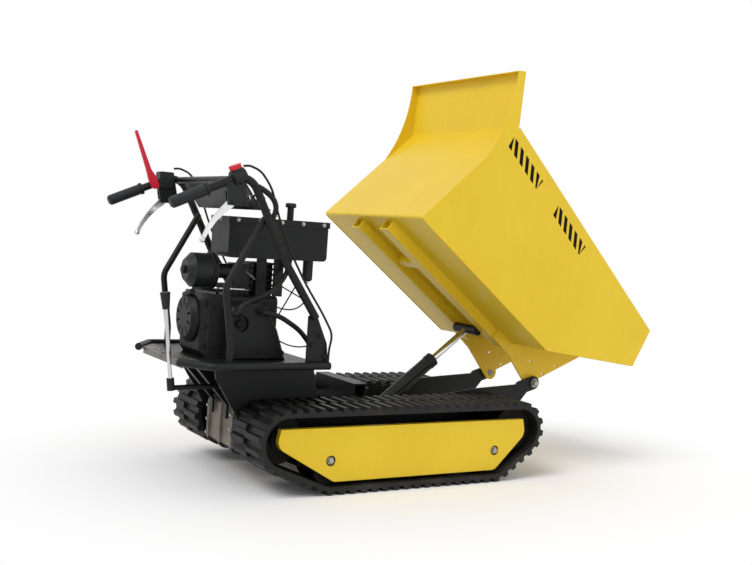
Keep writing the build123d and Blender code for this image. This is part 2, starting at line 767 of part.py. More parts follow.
def make_platform():
    """The deck with its bent side tubes, and the perforated step behind it with its struts."""
    rear = DECK_REAR_X
    edge = DECK_HALF_WIDTH - DECK_CORNER_Y
    corner = rear + DECK_CORNER_X
    outline = shape((rear, -edge), (corner, -DECK_HALF_WIDTH), (DECK_FRONT_X, -DECK_HALF_WIDTH),
                    (DECK_FRONT_X, DECK_HALF_WIDTH), (corner, DECK_HALF_WIDTH), (rear, edge))
    seam = rear + STEP_LENGTH
    front = Pos((seam + DECK_FRONT_X) / 2, 0) * Rectangle(DECK_FRONT_X - seam, 2 * DECK_HALF_WIDTH)
    deck = slab(outline & front, PLATE_TOP_Z, DECK_SHEET)
    tread = outline - front
    for row in range(STEP_HOLE_ROWS):
        for k in range(STEP_HOLE_COUNT):
            x = rear + STEP_HOLE_INSET + row * STEP_ROW_PITCH
            y = (k - (STEP_HOLE_COUNT - 1) / 2) * STEP_HOLE_PITCH + (row - 0.5) * STEP_STAGGER
            tread -= Pos(x, y) * Circle(STEP_HOLE_R)
    step = slab(tread, PLATE_TOP_Z, DECK_SHEET)
    step += block(rear, rear + DECK_SHEET, -edge, edge, DECK_TOP_Z - STEP_LIP, DECK_TOP_Z)
    NODES["step_plate"] = step

    stand_off = RAIL_TUBE_R + RAIL_TUBE_CLEAR
    slant = shifted([(rear, -edge), (corner, -DECK_HALF_WIDTH)], -stand_off)
    side = -DECK_HALF_WIDTH - RAIL_TUBE_R + RAIL_TUBE_SINK
    share = (side - slant[0][1]) / (slant[1][1] - slant[0][1])
    bend_x = slant[0][0] + (slant[1][0] - slant[0][0]) * share
    rail = tube([(*slant[0], DECK_TOP_Z), (bend_x, side, DECK_TOP_Z), (DECK_FRONT_X, side, DECK_TOP_Z)],
                RAIL_TUBE_R, RAIL_TUBE_BEND)
    NODES["platform"] = deck + rail + other_side(rail)

    top = PLATE_TOP_Z - STRUT_SHEET / 2
    foot_x = GEAR_REAR_X - STRUT_SHEET / 2
    run_z = STRUT_LOW_Z + STRUT_FOOT
    strut = strap([(STRUT_TOP_X - STRUT_FOOT, -STRUT_Y, top), (STRUT_TOP_X, -STRUT_Y, top),
                   (foot_x, -STRUT_Y, run_z), (foot_x, -STRUT_Y, STRUT_LOW_Z - STRUT_FOOT)],
                  STRUT_WIDTH, STRUT_SHEET, STRUT_BEND)
    add_both("platform_struts", strut)


def along_grip(distance, rise):
    """A point beside the grip's axis, from its rear end, and rise square to it."""
    run = BAR_SHOULDER_X - GRIP_REAR_X
    climb = BAR_SHOULDER_Z - GRIP_REAR_Z
    length = math.hypot(run, climb)
    return (GRIP_REAR_X + (run * distance - climb * rise) / length,
            GRIP_REAR_Z + (climb * distance + run * rise) / length)


def make_handlebars():
    """Handlebars, braces, foot brackets, grips and console."""
    side = -BAR_Y
    bar_start = along_grip(GRIP_CAP, 0)
    bar = tube([(bar_start[0], side, bar_start[1]), (BAR_SHOULDER_X, side, BAR_SHOULDER_Z),
                (BAR_KNEE_X, side, BAR_KNEE_Z), (BAR_FOOT_X, side, BAR_FOOT_Z)], BAR_R, BAR_BEND)
    add_pair("handlebar", bar)

    inside = side + BAR_R + BRACE_R
    brace = tube([((BAR_SHOULDER_X + BAR_KNEE_X) / 2, inside, (BAR_SHOULDER_Z + BAR_KNEE_Z) / 2),
                  (BRACE_KNEE_X, inside, BRACE_KNEE_Z), (BRACE_FOOT_X, inside, DECK_TOP_Z + BRACE_FOOT_RISE),
                  (BRACE_FOOT_X, inside, DECK_TOP_Z)], BRACE_R, BRACE_BEND)
    add_both("handle_braces", brace)

    top = DECK_TOP_Z + FOOT_RISE
    foot = shape((FOOT_HEAD_X, DECK_TOP_Z), (FOOT_HEAD_X + FOOT_LENGTH, DECK_TOP_Z),
                 (FOOT_HEAD_X + FOOT_WAIST, DECK_TOP_Z + FOOT_WAIST), (FOOT_HEAD_X + FOOT_HEAD, top),
                 (FOOT_HEAD_X, top))
    bracket = plate(foot, side + BAR_R, FOOT_SHEET)
    bracket += block(FOOT_HEAD_X, FOOT_HEAD_X + FOOT_LENGTH, side + BAR_R + FOOT_SHEET,
                     side + BAR_R + FOOT_FLANGE, DECK_TOP_Z, DECK_TOP_Z + FOOT_SHEET)
    add_both("handle_feet", bracket)

    collar = GRIP_LENGTH - GRIP_COLLAR
    grip = turned((0, 0), (GRIP_R - GRIP_CAP / 2, 0), (GRIP_R, GRIP_CAP / 2), (GRIP_R, collar),
                  (GRIP_COLLAR_R, collar), (GRIP_COLLAR_R, GRIP_LENGTH), (BAR_R, GRIP_LENGTH),
                  (BAR_R, GRIP_CAP), (0, GRIP_CAP))
    add_both("grips", Pos(GRIP_REAR_X, side, GRIP_REAR_Z) * Rot(0, 90 - GRIP_LEAN, 0) * grip)

    reach = BAR_Y - BAR_R
    crest = (CROSSBAR_X, CROSSBAR_Z + CROSSBAR_R)
    sill = (crest[0] + CONSOLE_RUN, crest[1] - CONSOLE_DROP)
    panel = [crest, sill, (sill[0] + CONSOLE_TRAY, sill[1])]
    console = plate(shape(*panel, *reversed(shifted(panel, -CONSOLE_SHEET))), -reach + CONSOLE_INSET,
                    2 * (reach - CONSOLE_INSET))
    NODES["console"] = console + bar_y(CROSSBAR_X, CROSSBAR_Z, -reach, reach, CROSSBAR_R)


def on_grip(stations):
    """Circles given along the grip's axis, in X and Z."""
    return [(*along_grip(distance, rise), radius) for distance, rise, radius in stations]


def make_controls():
    """Levers and switches, which are set and have no joints."""
    side = -BAR_Y
    spot = CONTROL_SPOT
    cheek = shape(along_grip(spot - CLAMP_HALF, -BAR_R / 2), along_grip(spot + CLAMP_HALF, -BAR_R / 2),
                  along_grip(spot + CLAMP_LEAN, -CLAMP_DROP),
                  along_grip(spot - CLAMP_HALF - CLAMP_LEAN, -CLAMP_REAR_DROP))
    clamp = plate(cheek, side - CLAMP_WIDTH / 2, CLAMP_WIDTH)
    slot = shape(along_grip(0, -FORK_TOP), along_grip(spot - FORK_SLOT, -FORK_TOP),
                 along_grip(spot - FORK_SLOT, -2 * CLAMP_DROP), along_grip(0, -2 * CLAMP_DROP))
    clamp -= plate(slot, side - FORK_SLOT / 2, FORK_SLOT)
    add_both("lever_clamps", clamp - NODES["handlebar_right"])

    thickness = FORK_SLOT - 2 * FORK_PLAY
    lever = plate(tapered(on_grip(LEVER_STATIONS)), side - thickness / 2, thickness)
    tip = along_grip(*LEVER_STATIONS[-1][:2])
    add_both("brake_levers", lever + Pos(tip[0], side, tip[1]) * Sphere(LEVER_BALL_R))

    base = along_grip(spot, 0)
    housing = Pos(base[0], BAR_Y, base[1]) * Box(BLOCK_LENGTH, BLOCK_WIDTH, BLOCK_HEIGHT)
    housing = fillet(housing.edges().filter_by(Axis.Y), BLOCK_R)
    NODES["lever_block"] = housing - NODES["handlebar_left"] - other_side(clamp)
    inner = BAR_Y - BAR_R - DRIVE_SEAT
    NODES["drive_lever"] = plate(tapered(on_grip(DRIVE_STATIONS)), inner - DRIVE_PLATE, DRIVE_PLATE)

    base = along_grip(SWITCH_SPOT, 0)
    across = Pos(base[0], side, base[1]) * Rot(0, -GRIP_LEAN, 0)
    switch = across * Cylinder(SWITCH_R, SWITCH_LENGTH, rotation=(0, 90, 0))
    switch += across * Cylinder(BUTTON_R - DRIVE_SEAT, BUTTON_RISE, align=BASE_UP)
    NODES["switch_housing"] = switch - NODES["handlebar_right"] - clamp - NODES["console"]
    NODES["stop_button"] = across * Pos(0, 0, BUTTON_RISE) * Cylinder(BUTTON_R, BUTTON_HEIGHT, align=BASE_UP)

    low = (STICK_LOW_X, STICK_Y, STICK_LOW_Z)
    high = (STICK_TOP_X, STICK_Y, STICK_TOP_Z)
    NODES["gear_lever"] = tube([low, high], STICK_R)
    lean = math.degrees(math.atan2(STICK_TOP_X - STICK_LOW_X, STICK_TOP_Z - STICK_LOW_Z))
    knob = Cone(KNOB_NECK_R, KNOB_R, KNOB_LENGTH, align=BASE_UP)
    NODES["gear_knob"] = Pos(*high) * Rot(0, lean, 0) * knob
    socket = Pos(*low) * Rot(0, lean, 0)
    arm_z = STICK_LOW_Z - SHIFT_R
    shaft_y = -GEAR_HALF_WIDTH + SHIFT_R + SHIFT_BUSH_R
    arm = socket * Pos(0, 0, -2 * SHIFT_R) * Cylinder(SHIFT_BUSH_R, SHIFT_BUSH + 2 * SHIFT_R, align=BASE_UP)
    arm -= socket * Cylinder(STICK_R, SHIFT_BUSH, align=BASE_UP)
    arm += tube([(STICK_LOW_X + SHIFT_BUSH_R / 2, STICK_Y, arm_z), (SHIFT_X, shaft_y, arm_z),
                 (SHIFT_X, shaft_y, GEAR_TOP_Z)], SHIFT_R, SHIFT_BEND)
    NODES["shift_arm"] = arm


def make_engine():
    """The engine with its blower, recoil starter, air cleaner, exhaust and drive cover."""
    mid = ENGINE_Y
    head_z = CRANK_Z + CASE_RISE
    case = block(BLOWER_FRONT_X, CASE_FRONT_X, mid - CASE_HALF_Y, mid + CASE_HALF_Y, DECK_TOP_Z, head_z)
    case = fillet(case.edges().filter_by(Axis.X), CASE_R)
    fin_x = CARB_REAR_X + CARB_LENGTH + HEAD_GAP
    wide = HEAD_HALF_Y
    core = wide - FIN_REACH
    case += block(fin_x + FIN_REACH, fin_x + HEAD_LENGTH - FIN_REACH, mid - core, mid + core, head_z,
                  head_z + HEAD_RISE)
    for k in range(FINS):
        top = head_z + HEAD_RISE * (k + 1) / FINS
        case += block(fin_x, fin_x + HEAD_LENGTH, mid - wide, mid + wide, top - FIN_SHEET, top)
    NODES["engine_block"] = case

    blower = block(BLOWER_REAR_X, BLOWER_FRONT_X, mid - BLOWER_HALF_WIDTH, mid + BLOWER_HALF_WIDTH,
                   DECK_TOP_Z, CRANK_Z + BLOWER_RISE)
    NODES["blower_housing"] = chamfer(blower.faces().sort_by(Axis.X)[0].edges(), BLOWER_CHAMFER)

    dome = turned((0, 0), (RECOIL_R, 0), (RECOIL_R, RECOIL_RIM), (RECOIL_R - RECOIL_SLOPE, RECOIL_DEPTH),
                  (0, RECOIL_DEPTH))
    dome = fillet(dome.edges().group_by(Axis.Z)[-1], RECOIL_ROUND)
    for k in range(RECOIL_SLOTS):
        spot = Rot(0, 0, k * 360 / RECOIL_SLOTS) * Pos(RECOIL_SLOT_R, 0, RECOIL_DEPTH)
        dome -= spot * Box(RECOIL_SLOT_LENGTH, RECOIL_SLOT_WIDTH, 2 * RECOIL_SLOT_DEPTH)
    recoil = Pos(BLOWER_REAR_X, mid, CRANK_Z) * Rot(0, -90, 0) * dome
    pull_x = BLOWER_REAR_X - RECOIL_DEPTH + PULL_R
    pull_z = CRANK_Z + PULL_RISE
    recoil += tube([(pull_x, mid + PULL_SIDE - PULL_HALF, pull_z + PULL_LEAN),
                    (pull_x, mid + PULL_SIDE + PULL_HALF, pull_z - PULL_LEAN)], PULL_R)
    recoil += tube([(pull_x, mid + PULL_SIDE, CRANK_Z + RECOIL_R - RECOIL_SLOPE),
                    (pull_x, mid + PULL_SIDE, pull_z)], PULL_NECK_R)
    NODES["recoil_starter"] = recoil

    bowl = turned((0, 0), (CLEANER_R - CLEANER_CHAMFER, 0), (CLEANER_R, CLEANER_CHAMFER),
                  (CLEANER_R, CLEANER_LENGTH - CLEANER_RING), (CLEANER_RING_R, CLEANER_LENGTH - CLEANER_RING),
                  (CLEANER_RING_R, CLEANER_LENGTH), (0, CLEANER_LENGTH))
    cleaner = Pos(CLEANER_REAR_X, CLEANER_Y, CLEANER_Z) * Rot(0, 90, 0) * bowl
    cleaner += tube([(CLEANER_REAR_X + CLEANER_LENGTH, CLEANER_Y, CLEANER_Z),
                     (CARB_REAR_X, CLEANER_Y, CLEANER_Z)], INTAKE_R)
    carb = block(CARB_REAR_X, CARB_REAR_X + CARB_LENGTH, CLEANER_Y - CARB_WIDTH / 2,
                 CLEANER_Y + CARB_WIDTH / 2, head_z, CARB_TOP_Z)
    NODES["air_cleaner"] = cleaner + fillet(carb.edges().filter_by(Axis.Z), CARB_R)

    side = mid + CASE_HALF_Y
    low = CRANK_Z + MUFFLER_LOW
    end_x = BLOWER_FRONT_X + MUFFLER_LENGTH
    muffler = block(BLOWER_FRONT_X, end_x, side, side + MUFFLER_DEPTH, low, low + MUFFLER_HEIGHT)
    muffler = fillet(muffler.edges().filter_by(Axis.X), MUFFLER_R)
    outlet = Cylinder(OUTLET_R, OUTLET_LENGTH, rotation=(0, 90, 0), align=BASE_UP)
    muffler += Pos(end_x, side + MUFFLER_DEPTH / 2, low + MUFFLER_HEIGHT / 2) * outlet
    NODES["muffler"] = muffler

    near = mid - CASE_HALF_Y - DRIVE_DEPTH
    top = [(DRIVE_TOP_X, DRIVE_TOP_Z), (BLOWER_FRONT_X, DRIVE_REAR_Z)]
    guard = shape((BLOWER_FRONT_X, DECK_TOP_Z), (DRIVE_FRONT_X, DECK_TOP_Z),
                  (DRIVE_SHOULDER_X, DRIVE_SHOULDER_Z), *top)
    for point in top:
        guard = round_at(guard, point, DRIVE_ROUND)
    cover = plate(guard, near, DRIVE_DEPTH)
    cover = chamfer(cover.faces().sort_by(Axis.Y)[0].edges(), DRIVE_EDGE)
    NODES["drive_cover"] = cover - bar_y(RECESS_X, RECESS_Z, near, near + RECESS_DEPTH, RECESS_R)


def make_tank():
    """Hydraulic tank with a capped lid, filler, return filter and legs."""
    body = block(TANK_REAR_X, TANK_FRONT_X, TANK_RIGHT_Y, TANK_LEFT_Y, TANK_LOW_Z, TANK_TOP_Z)
    rounded = body.edges().filter_by(Axis.Y).group_by(Axis.Z)[0]
    NODES["hydraulic_tank"] = fillet(rounded, TANK_R)
    lid = block(TANK_REAR_X - LID_LIP, TANK_FRONT_X + LID_LIP, TANK_RIGHT_Y - LID_LIP, TANK_LEFT_Y + LID_LIP,
                TANK_TOP_Z - LID_RIM, TANK_TOP_Z + LID_SHEET)
    neck = Pos(FILLER_X, TANK_RIGHT_Y + FILLER_INSET, TANK_TOP_Z + LID_SHEET)
    cap = Cylinder(FILLER_CAP_R, FILLER_CAP, align=BASE_UP)
    cap = chamfer(cap.edges().group_by(Axis.Z)[-1], FILLER_CAP_EDGE)
    filler = Cylinder(FILLER_R, FILLER_HEIGHT, align=BASE_UP) + Pos(0, 0, FILLER_HEIGHT) * cap
    NODES["tank_lid"] = lid - body + neck * filler
    bowl = Cylinder(BOWL_R, BOWL_LENGTH, align=(Align.CENTER, Align.CENTER, Align.MAX))
    bowl = chamfer(bowl.edges().group_by(Axis.Z)[0], BOWL_EDGE)
    NODES["return_filter"] = Pos(BOWL_X, TANK_RIGHT_Y + FILLER_INSET, TANK_LOW_Z) * bowl
    legs = []
    for k in range(2):
        x = LEG_REAR_X + k * LEG_PITCH
        legs += block(x, x + LEG_WIDTH, LEG_Y, LEG_Y + LEG_SHEET, CRANK_Z + CASE_RISE, TANK_LOW_Z).solids()
    NODES["tank_bracket"] = Compound(children=legs)


# The hinge and the cylinder's eye in the skip's frame, and the skip's place on the machine
HINGE_U = FLOOR_LENGTH + HINGE_AHEAD
HINGE_W = -HINGE_DROP
EYE_U = HINGE_U - EYE_BEHIND
CHUTE_U = FLOOR_LENGTH + CHUTE_RUN
SKIP_PLACE = Pos(HINGE_X, 0, HINGE_Z) * Rot(0, TIP_ANGLE, 0) * Pos(-HINGE_U, 0, HINGE_DROP)


def make_skip():
    """The skip's panels, rails and hinge plates, made level and then tipped about the hinge."""
    inside = SKIP_HALF_WIDTH - SHEET
    outer = [(BACK_TOP_U, BACK_TOP_W), (0, 0), (FLOOR_LENGTH, 0), (CHUTE_U, CHUTE_RISE)]
    inner = shifted(outer, SHEET)
    back = shape(outer[0], outer[1], (BACK_FOOT, 0), (BACK_FOOT, SHEET), inner[1], inner[0])
    back = round_at(back, outer[1], FOLD_R)
    back = round_at(back, inner[1], FOLD_R - SHEET)
    floor = shape((BACK_FOOT, 0), outer[2], inner[2], (BACK_FOOT, SHEET))
    chute = shape(outer[2], outer[3], inner[3], inner[2])

    base = outer[0]
    top = (base[0] - GUARD_BACK, base[1] + GUARD_RISE)
    lip = (top[0] - GUARD_LIP_BACK, top[1] - GUARD_LIP_DROP)
    folded = shifted([base, top, lip], -SHEET)
    guard = shape(base, top, lip, folded[2], folded[1], inner[0])
    panels = (("skip_back", back), ("skip_floor", floor), ("skip_chute", chute), ("skip_guard", guard))
    for name, outline in panels:
        NODES[name] = SKIP_PLACE * plate(outline, -inside, 2 * inside)

    low = (BACK_TOP_U * GUSSET_LOW_W / BACK_TOP_W, GUSSET_LOW_W)
    bow = ((lip[0] + low[0]) / 2 + GUSSET_BOW, (lip[1] + low[1]) / 2)
    gusset = make_face([Polyline(low, base, *folded, lip), ThreePointArc(lip, bow, low)])
    gusset = SKIP_PLACE * plate(gusset, -SKIP_HALF_WIDTH, SHEET)
    NODES["skip_guard"] += gusset + other_side(gusset)

    front_top = (CHUTE_U - FRONT_RAKE, FRONT_TOP_W)
    side = shape(*outer, front_top)
    side = round_at(side, outer[1], FOLD_R)
    wall = plate(side, -SKIP_HALF_WIDTH, SHEET)
    span = math.dist(base, front_top)
    along = [(front_top[i] - base[i]) / span * RIM_END for i in range(2)]
    rim_y = -SKIP_HALF_WIDTH + RIM_R
    rim_start = (base[0] + along[0], rim_y, base[1] + along[1])
    wall += tube([rim_start, (front_top[0], rim_y, front_top[1])], RIM_R)
    add_pair("skip_side", SKIP_PLACE * wall)

    rail_front = FLOOR_LENGTH - RAIL_FRONT_GAP
    rail = block(RAIL_REAR_U, rail_front, -RAIL_OUT_Y, -RAIL_OUT_Y + RAIL_WIDTH, -RAIL_DEPTH, 0)
    rail -= block(RAIL_REAR_U, rail_front, -RAIL_OUT_Y + RAIL_WALL, -RAIL_OUT_Y + RAIL_WIDTH - RAIL_WALL,
                  -RAIL_DEPTH + RAIL_WALL, 0)
    rails = rail + other_side(rail)
    tie_end = RAIL_OUT_Y - RAIL_WIDTH
    rails += block(TIE_U, TIE_U + TIE_WIDTH, -tie_end, tie_end, -TIE_DEPTH, 0)
    NODES["skip_rails"] = SKIP_PLACE * rails

    lap = rail_front - HINGE_PLATE_LAP
    reach = (FLOOR_LENGTH + HINGE_PLATE_REACH, HINGE_PLATE_REACH * CHUTE_RISE / CHUTE_RUN)
    web = shape((lap, 0), (FLOOR_LENGTH, 0), reach, (HINGE_U, HINGE_W), (lap, -RAIL_DEPTH))
    web += tapered([(HINGE_U, HINGE_W, HINGE_NOSE_R), (FLOOR_LENGTH, -RAIL_DEPTH / 2, RAIL_DEPTH / 2)])
    web -= Pos(HINGE_U, HINGE_W) * Circle(HINGE_PIN_R + HINGE_PLAY)
    for ahead, above in BOLT_HOLES:
        web -= Pos(HINGE_U + ahead, HINGE_W + above) * Circle(BOLT_HOLE_R)
    add_both("hinge_plates", SKIP_PLACE * plate(web, -HINGE_PLATE_Y - HINGE_PLATE, HINGE_PLATE))


def eye_point():
    """The rod eye's place with the skip tipped."""
    spot = SKIP_PLACE * Pos(EYE_U, 0, -EYE_DROP)
    return spot.position.X, spot.position.Z


def make_cylinder():
    """The tipping cylinder between its base pin and the skip's cross tube."""
    eye_x, eye_z = eye_point()
    length = math.hypot(eye_x - CYL_BASE_X, eye_z - CYL_BASE_Z)
    lean = math.degrees(math.atan2(eye_x - CYL_BASE_X, eye_z - CYL_BASE_Z))
    place = Pos(CYL_BASE_X, 0, CYL_BASE_Z) * Rot(0, lean, 0)
    barrel = turned((0, 0), (NECK_R, 0), (NECK_R, BARREL_START), (BARREL_R, BARREL_START),
                    (BARREL_R, BARREL_LENGTH - COLLAR_LENGTH), (COLLAR_R, BARREL_LENGTH - COLLAR_LENGTH),
                    (COLLAR_R, BARREL_LENGTH), (0, BARREL_LENGTH))
    barrel += Cylinder(BASE_EYE_R, BASE_EYE_WIDTH, rotation=(90, 0, 0))
    barrel -= Cylinder(CYL_PIN_R + CYL_PIN_PLAY, 2 * BASE_EYE_WIDTH, rotation=(90, 0, 0))
    barrel -= Pos(0, 0, BARREL_START + BARREL_FLOOR) * Cylinder(ROD_R + ROD_GAP, BARREL_LENGTH, align=BASE_UP)
    NODES["cylinder_barrel"] = place * barrel
    out = -BARREL_R - LINE_R - LINE_STANDOFF
    near = -BARREL_R - LINE_SEAT
    line = [(0, near, LINE_TOP), (0, out, LINE_TOP), (0, out, LINE_LOW), (0, near, LINE_LOW)]
    NODES["cylinder_line"] = place * tube(line, LINE_R, LINE_BEND)
    rod = Pos(0, 0, ROD_TAIL) * Cylinder(ROD_R, length - ROD_TAIL, align=BASE_UP)
    eye = Pos(0, 0, length) * Cylinder(EYE_R, EYE_LENGTH, rotation=(90, 0, 0))
    NODES["cylinder_rod"] = place * (rod - eye)
    NODES["rod_eye"] = place * eye


def make_lines():
    """Hydraulic hoses and control cables, held along their whole length."""
    near = ENGINE_Y - CASE_HALF_Y - DRIVE_DEPTH
    suction = [(-470, -95, TANK_LOW_Z), (-470, -95, 694), (-510, -140, 656), (-578, -178, 612),
               (-640, -186, 592), (-672, -190, 574), (-676, -190, 548), (-676, near, 548)]
    pressure = [(-590, near, 556), (-590, -190, 556), (-540, -196, 546), (-467, -198, 503),
                (-424, -200, 452), (-424, -200, DECK_TOP_Z)]
    hoses = [*cable(suction, HOSE_R).solids(), *cable(pressure, HOSE_R).solids()]
    NODES["hydraulic_hoses"] = Compound(children=hoses)

    route = [(-738, 1002), (-718, 1005), (-680, 992), (-642, 946), (-616, 870), (-586, 798), (-551, 731),
             (-503, 653), (-440, 568), (-398, 500), (-408, 450), (-408, DECK_TOP_Z + RAIL_TUBE_R + CABLE_SEAT)]
    add_both("control_cables", cable([(x, -BAR_Y, z) for x, z in route], CABLE_R))


for make in (make_tracks, make_undercarriage, make_chassis, make_gearbox, make_platform, make_handlebars,
             make_controls, make_engine, make_tank, make_skip, make_cylinder, make_lines):
    make()

os.makedirs("parts", exist_ok=True)
for name, part in NODES.items():
    export_step(part, "parts/" + name + ".step")
    print(name, len(part.solids()), round(part.volume / 1000, 1))
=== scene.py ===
# %% [markdown]
# A tracked mini dumper, dressed for its portrait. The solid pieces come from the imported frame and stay
# where they are. This lesson gives each of them a finish, and adds what is too fine for the solids: the
# warning stripes, the bolts, the fittings and the marks of use.

# %% Load the frame
import json
import math

import bmesh
import bpy
import numpy as np
from mathutils import Matrix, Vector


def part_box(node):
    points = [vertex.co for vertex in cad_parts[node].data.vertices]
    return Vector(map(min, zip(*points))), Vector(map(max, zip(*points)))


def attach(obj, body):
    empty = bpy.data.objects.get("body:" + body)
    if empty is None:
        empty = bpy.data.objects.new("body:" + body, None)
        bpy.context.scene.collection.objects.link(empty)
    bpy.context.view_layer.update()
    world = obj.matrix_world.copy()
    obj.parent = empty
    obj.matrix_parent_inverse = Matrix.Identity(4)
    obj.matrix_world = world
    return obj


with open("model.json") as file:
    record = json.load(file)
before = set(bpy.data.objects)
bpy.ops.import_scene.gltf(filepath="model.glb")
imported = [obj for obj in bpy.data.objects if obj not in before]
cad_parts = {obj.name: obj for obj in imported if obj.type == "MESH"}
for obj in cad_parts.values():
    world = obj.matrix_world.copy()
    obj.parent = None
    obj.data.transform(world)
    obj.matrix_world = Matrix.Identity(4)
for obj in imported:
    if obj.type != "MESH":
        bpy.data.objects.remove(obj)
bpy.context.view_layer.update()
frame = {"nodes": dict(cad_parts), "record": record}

nodes = frame["nodes"]
slot_of = {row["node"]: row["material_slot"] for row in frame["record"]["subparts"]}

# %% [markdown]
# Shader sums read best as sums. This class wraps a socket, so that 1 - mask or noise * 0.2 + 0.5 adds the
# Math nodes by itself. Every other node comes from its one method, which sets a node's settings first and
# then its sockets.

# %% Sums of sockets
class Shade:
    """A socket of a shader tree that takes part in sums."""

    def __init__(self, tree, socket=None):
        self.tree = tree
        self.socket = socket

    def node(self, kind, settings, sockets, output=0):
        """Add one node: its settings first, then the values and links of its sockets."""
        made = self.tree.nodes.new(kind)
        for name, value in settings.items():
            setattr(made, name, value)
        for name, value in sockets.items():
            if isinstance(value, Shade):
                self.tree.links.new(value.socket, made.inputs[name])
            else:
                made.inputs[name].default_value = value
        return Shade(self.tree, made.outputs[output])

    def sum(self, operation, first, second):
        """One Math node on two values, either of which may be a plain number."""
        return self.node("ShaderNodeMath", {"operation": operation}, {0: first, 1: second})

    def __add__(self, other):
        return self.sum("ADD", self, other)

    __radd__ = __add__

    def __sub__(self, other):
        return self.sum("SUBTRACT", self, other)

    def __rsub__(self, other):
        return self.sum("SUBTRACT", other, self)

    def __mul__(self, other):
        return self.sum("MULTIPLY", self, other)

    __rmul__ = __mul__

    def smooth(self, low, high):
        """0 below low and 1 above high, with a soft step between them."""
        settings = {"interpolation_type": "SMOOTHSTEP"}
        return self.node("ShaderNodeMapRange", settings, {0: self, 1: low, 2: high})

    def mix(self, first, second):
        """A colour between two colours, by this share."""
        return self.node("ShaderNodeMix", {"data_type": "RGBA"}, {0: self, 6: first, 7: second}, 2)


def rgb(red, green, blue):
    """A colour as seen on a screen, 0 to 255, turned into the linear light that shaders use."""
    seen = np.array([red, green, blue]) / 255
    light = np.where(seen <= 0.04045, seen / 12.92, ((seen + 0.055) / 1.055) ** 2.4)
    return (*light.tolist(), 1.0)


print("yellow in linear light", np.round(rgb(224, 192, 48), 3))

# %% [markdown]
# Every finish starts the same way: a surface shader, the object's own coordinates, and two or three noises
# from broad to fine. Each finish then says how the noises change its colour, its gloss and its grain.

# %% The bench where finishes are mixed
FINISHES = {}


class Bench:
    """A new material with its surface shader, ready for a finish."""

    def __init__(self, name):
        self.material = bpy.data.materials.new(name)
        self.material.use_nodes = True
        tree = self.material.node_tree
        self.surface = tree.nodes["Principled BSDF"]
        self.start = Shade(tree)
        self.place = self.start.node("ShaderNodeTexCoord", {}, {}, "Object")
        FINISHES[name] = self.material

    def noise(self, scale, detail=3.0, stretch=(1, 1, 1)):
        """Noise from 0 to 1, with features of about 1 / scale metres, stretched along the axes."""
        where = self.start.node("ShaderNodeMapping", {}, {"Vector": self.place, "Scale": stretch})
        return self.start.node("ShaderNodeTexNoise", {}, {"Vector": where, "Scale": scale, "Detail": detail})

    def set(self, **sockets):
        """Give the surface shader's sockets their values, written with _ for a space."""
        for name, value in sockets.items():
            socket = self.surface.inputs[name.replace("_", " ")]
            if isinstance(value, Shade):
                self.start.tree.links.new(value.socket, socket)
            else:
                socket.default_value = value

    def grain(self, height, distance, strength=0.5):
        """Bump the surface by a height from 0 to 1, over a real distance in metres."""
        sockets = {"Height": height, "Distance": distance, "Strength": strength}
        bump = self.start.node("ShaderNodeBump", {}, sockets)
        self.start.tree.links.new(bump.socket, self.surface.inputs["Normal"])


print("finishes to begin with", len(FINISHES))

# %% [markdown]
# The skip and the covers are sprayed sheet steel, and the frame and engine are powder coated. A picture of
# paint would tie the finish to one layout, so the noises draw it instead: broad drifts of shade, short smears
# and a fine orange peel. Black paint gets little shine, because a white studio would turn it grey.

# %% Paints
def paint(name, colour, shade, gloss, shine, peel=0.0006):
    """Sprayed paint: broad drifts of shade, fine orange peel, and gloss that varies with both."""
    bench = Bench(name)
    drift = bench.noise(2.5)
    peel_noise = bench.noise(420.0, 1.0)
    smears = bench.noise(38.0, 4.0, (1, 1, 0.35))
    bench.set(Base_Color=(drift * 0.7 + smears * 0.3).smooth(0.3, 0.7).mix(shade, colour))
    bench.set(Roughness=gloss + (smears - 0.5) * 0.14 + (drift - 0.5) * 0.1)
    bench.set(Specular_IOR_Level=shine)
    bench.grain(peel_noise, peel, 0.25)


paint("yellow_paint", rgb(228, 194, 42), rgb(222, 187, 36), 0.38, 0.3)
paint("black_paint", rgb(22, 23, 24), rgb(16, 17, 18), 0.4, 0.22)
paint("engine_black", rgb(24, 24, 25), rgb(17, 17, 18), 0.48, 0.2)
paint("dark_steel", rgb(30, 28, 27), rgb(20, 19, 18), 0.66, 0.2)
paint("stripe_black", rgb(22, 18, 13), rgb(17, 14, 10), 0.62, 0.08)
print("paints", sorted(FINISHES))

# %% [markdown]
# Tracks, grips and hoses are moulded rubber, which is dull and holds dust. The tracks are dustiest near the
# ground, so the height above it is part of the sum. Plastic is smoother, and shines where hands rub it.

# %% Rubber and plastic
DUST_HEIGHTS = (0.02, 0.2)


def rubber(name, colour, dust, dusty, scale):
    """Moulded rubber: dull, with a fine tooth. Pale dust gathers by the broad noise, most near the ground."""
    bench = Bench(name)
    patches = bench.noise(9.0, 5.0)
    tooth = bench.noise(scale, 2.0)
    height = bench.start.node("ShaderNodeSeparateXYZ", {}, {"Vector": bench.place}, "Z")
    low = 1.0 - height.smooth(*DUST_HEIGHTS)
    bench.set(Base_Color=(patches.smooth(0.42, 0.75) * dusty * (1.0 + low)).mix(colour, dust))
    bench.set(Roughness=0.52 + (patches - 0.5) * 0.25, Specular_IOR_Level=0.28)
    bench.grain(tooth, 0.0008, 0.4)


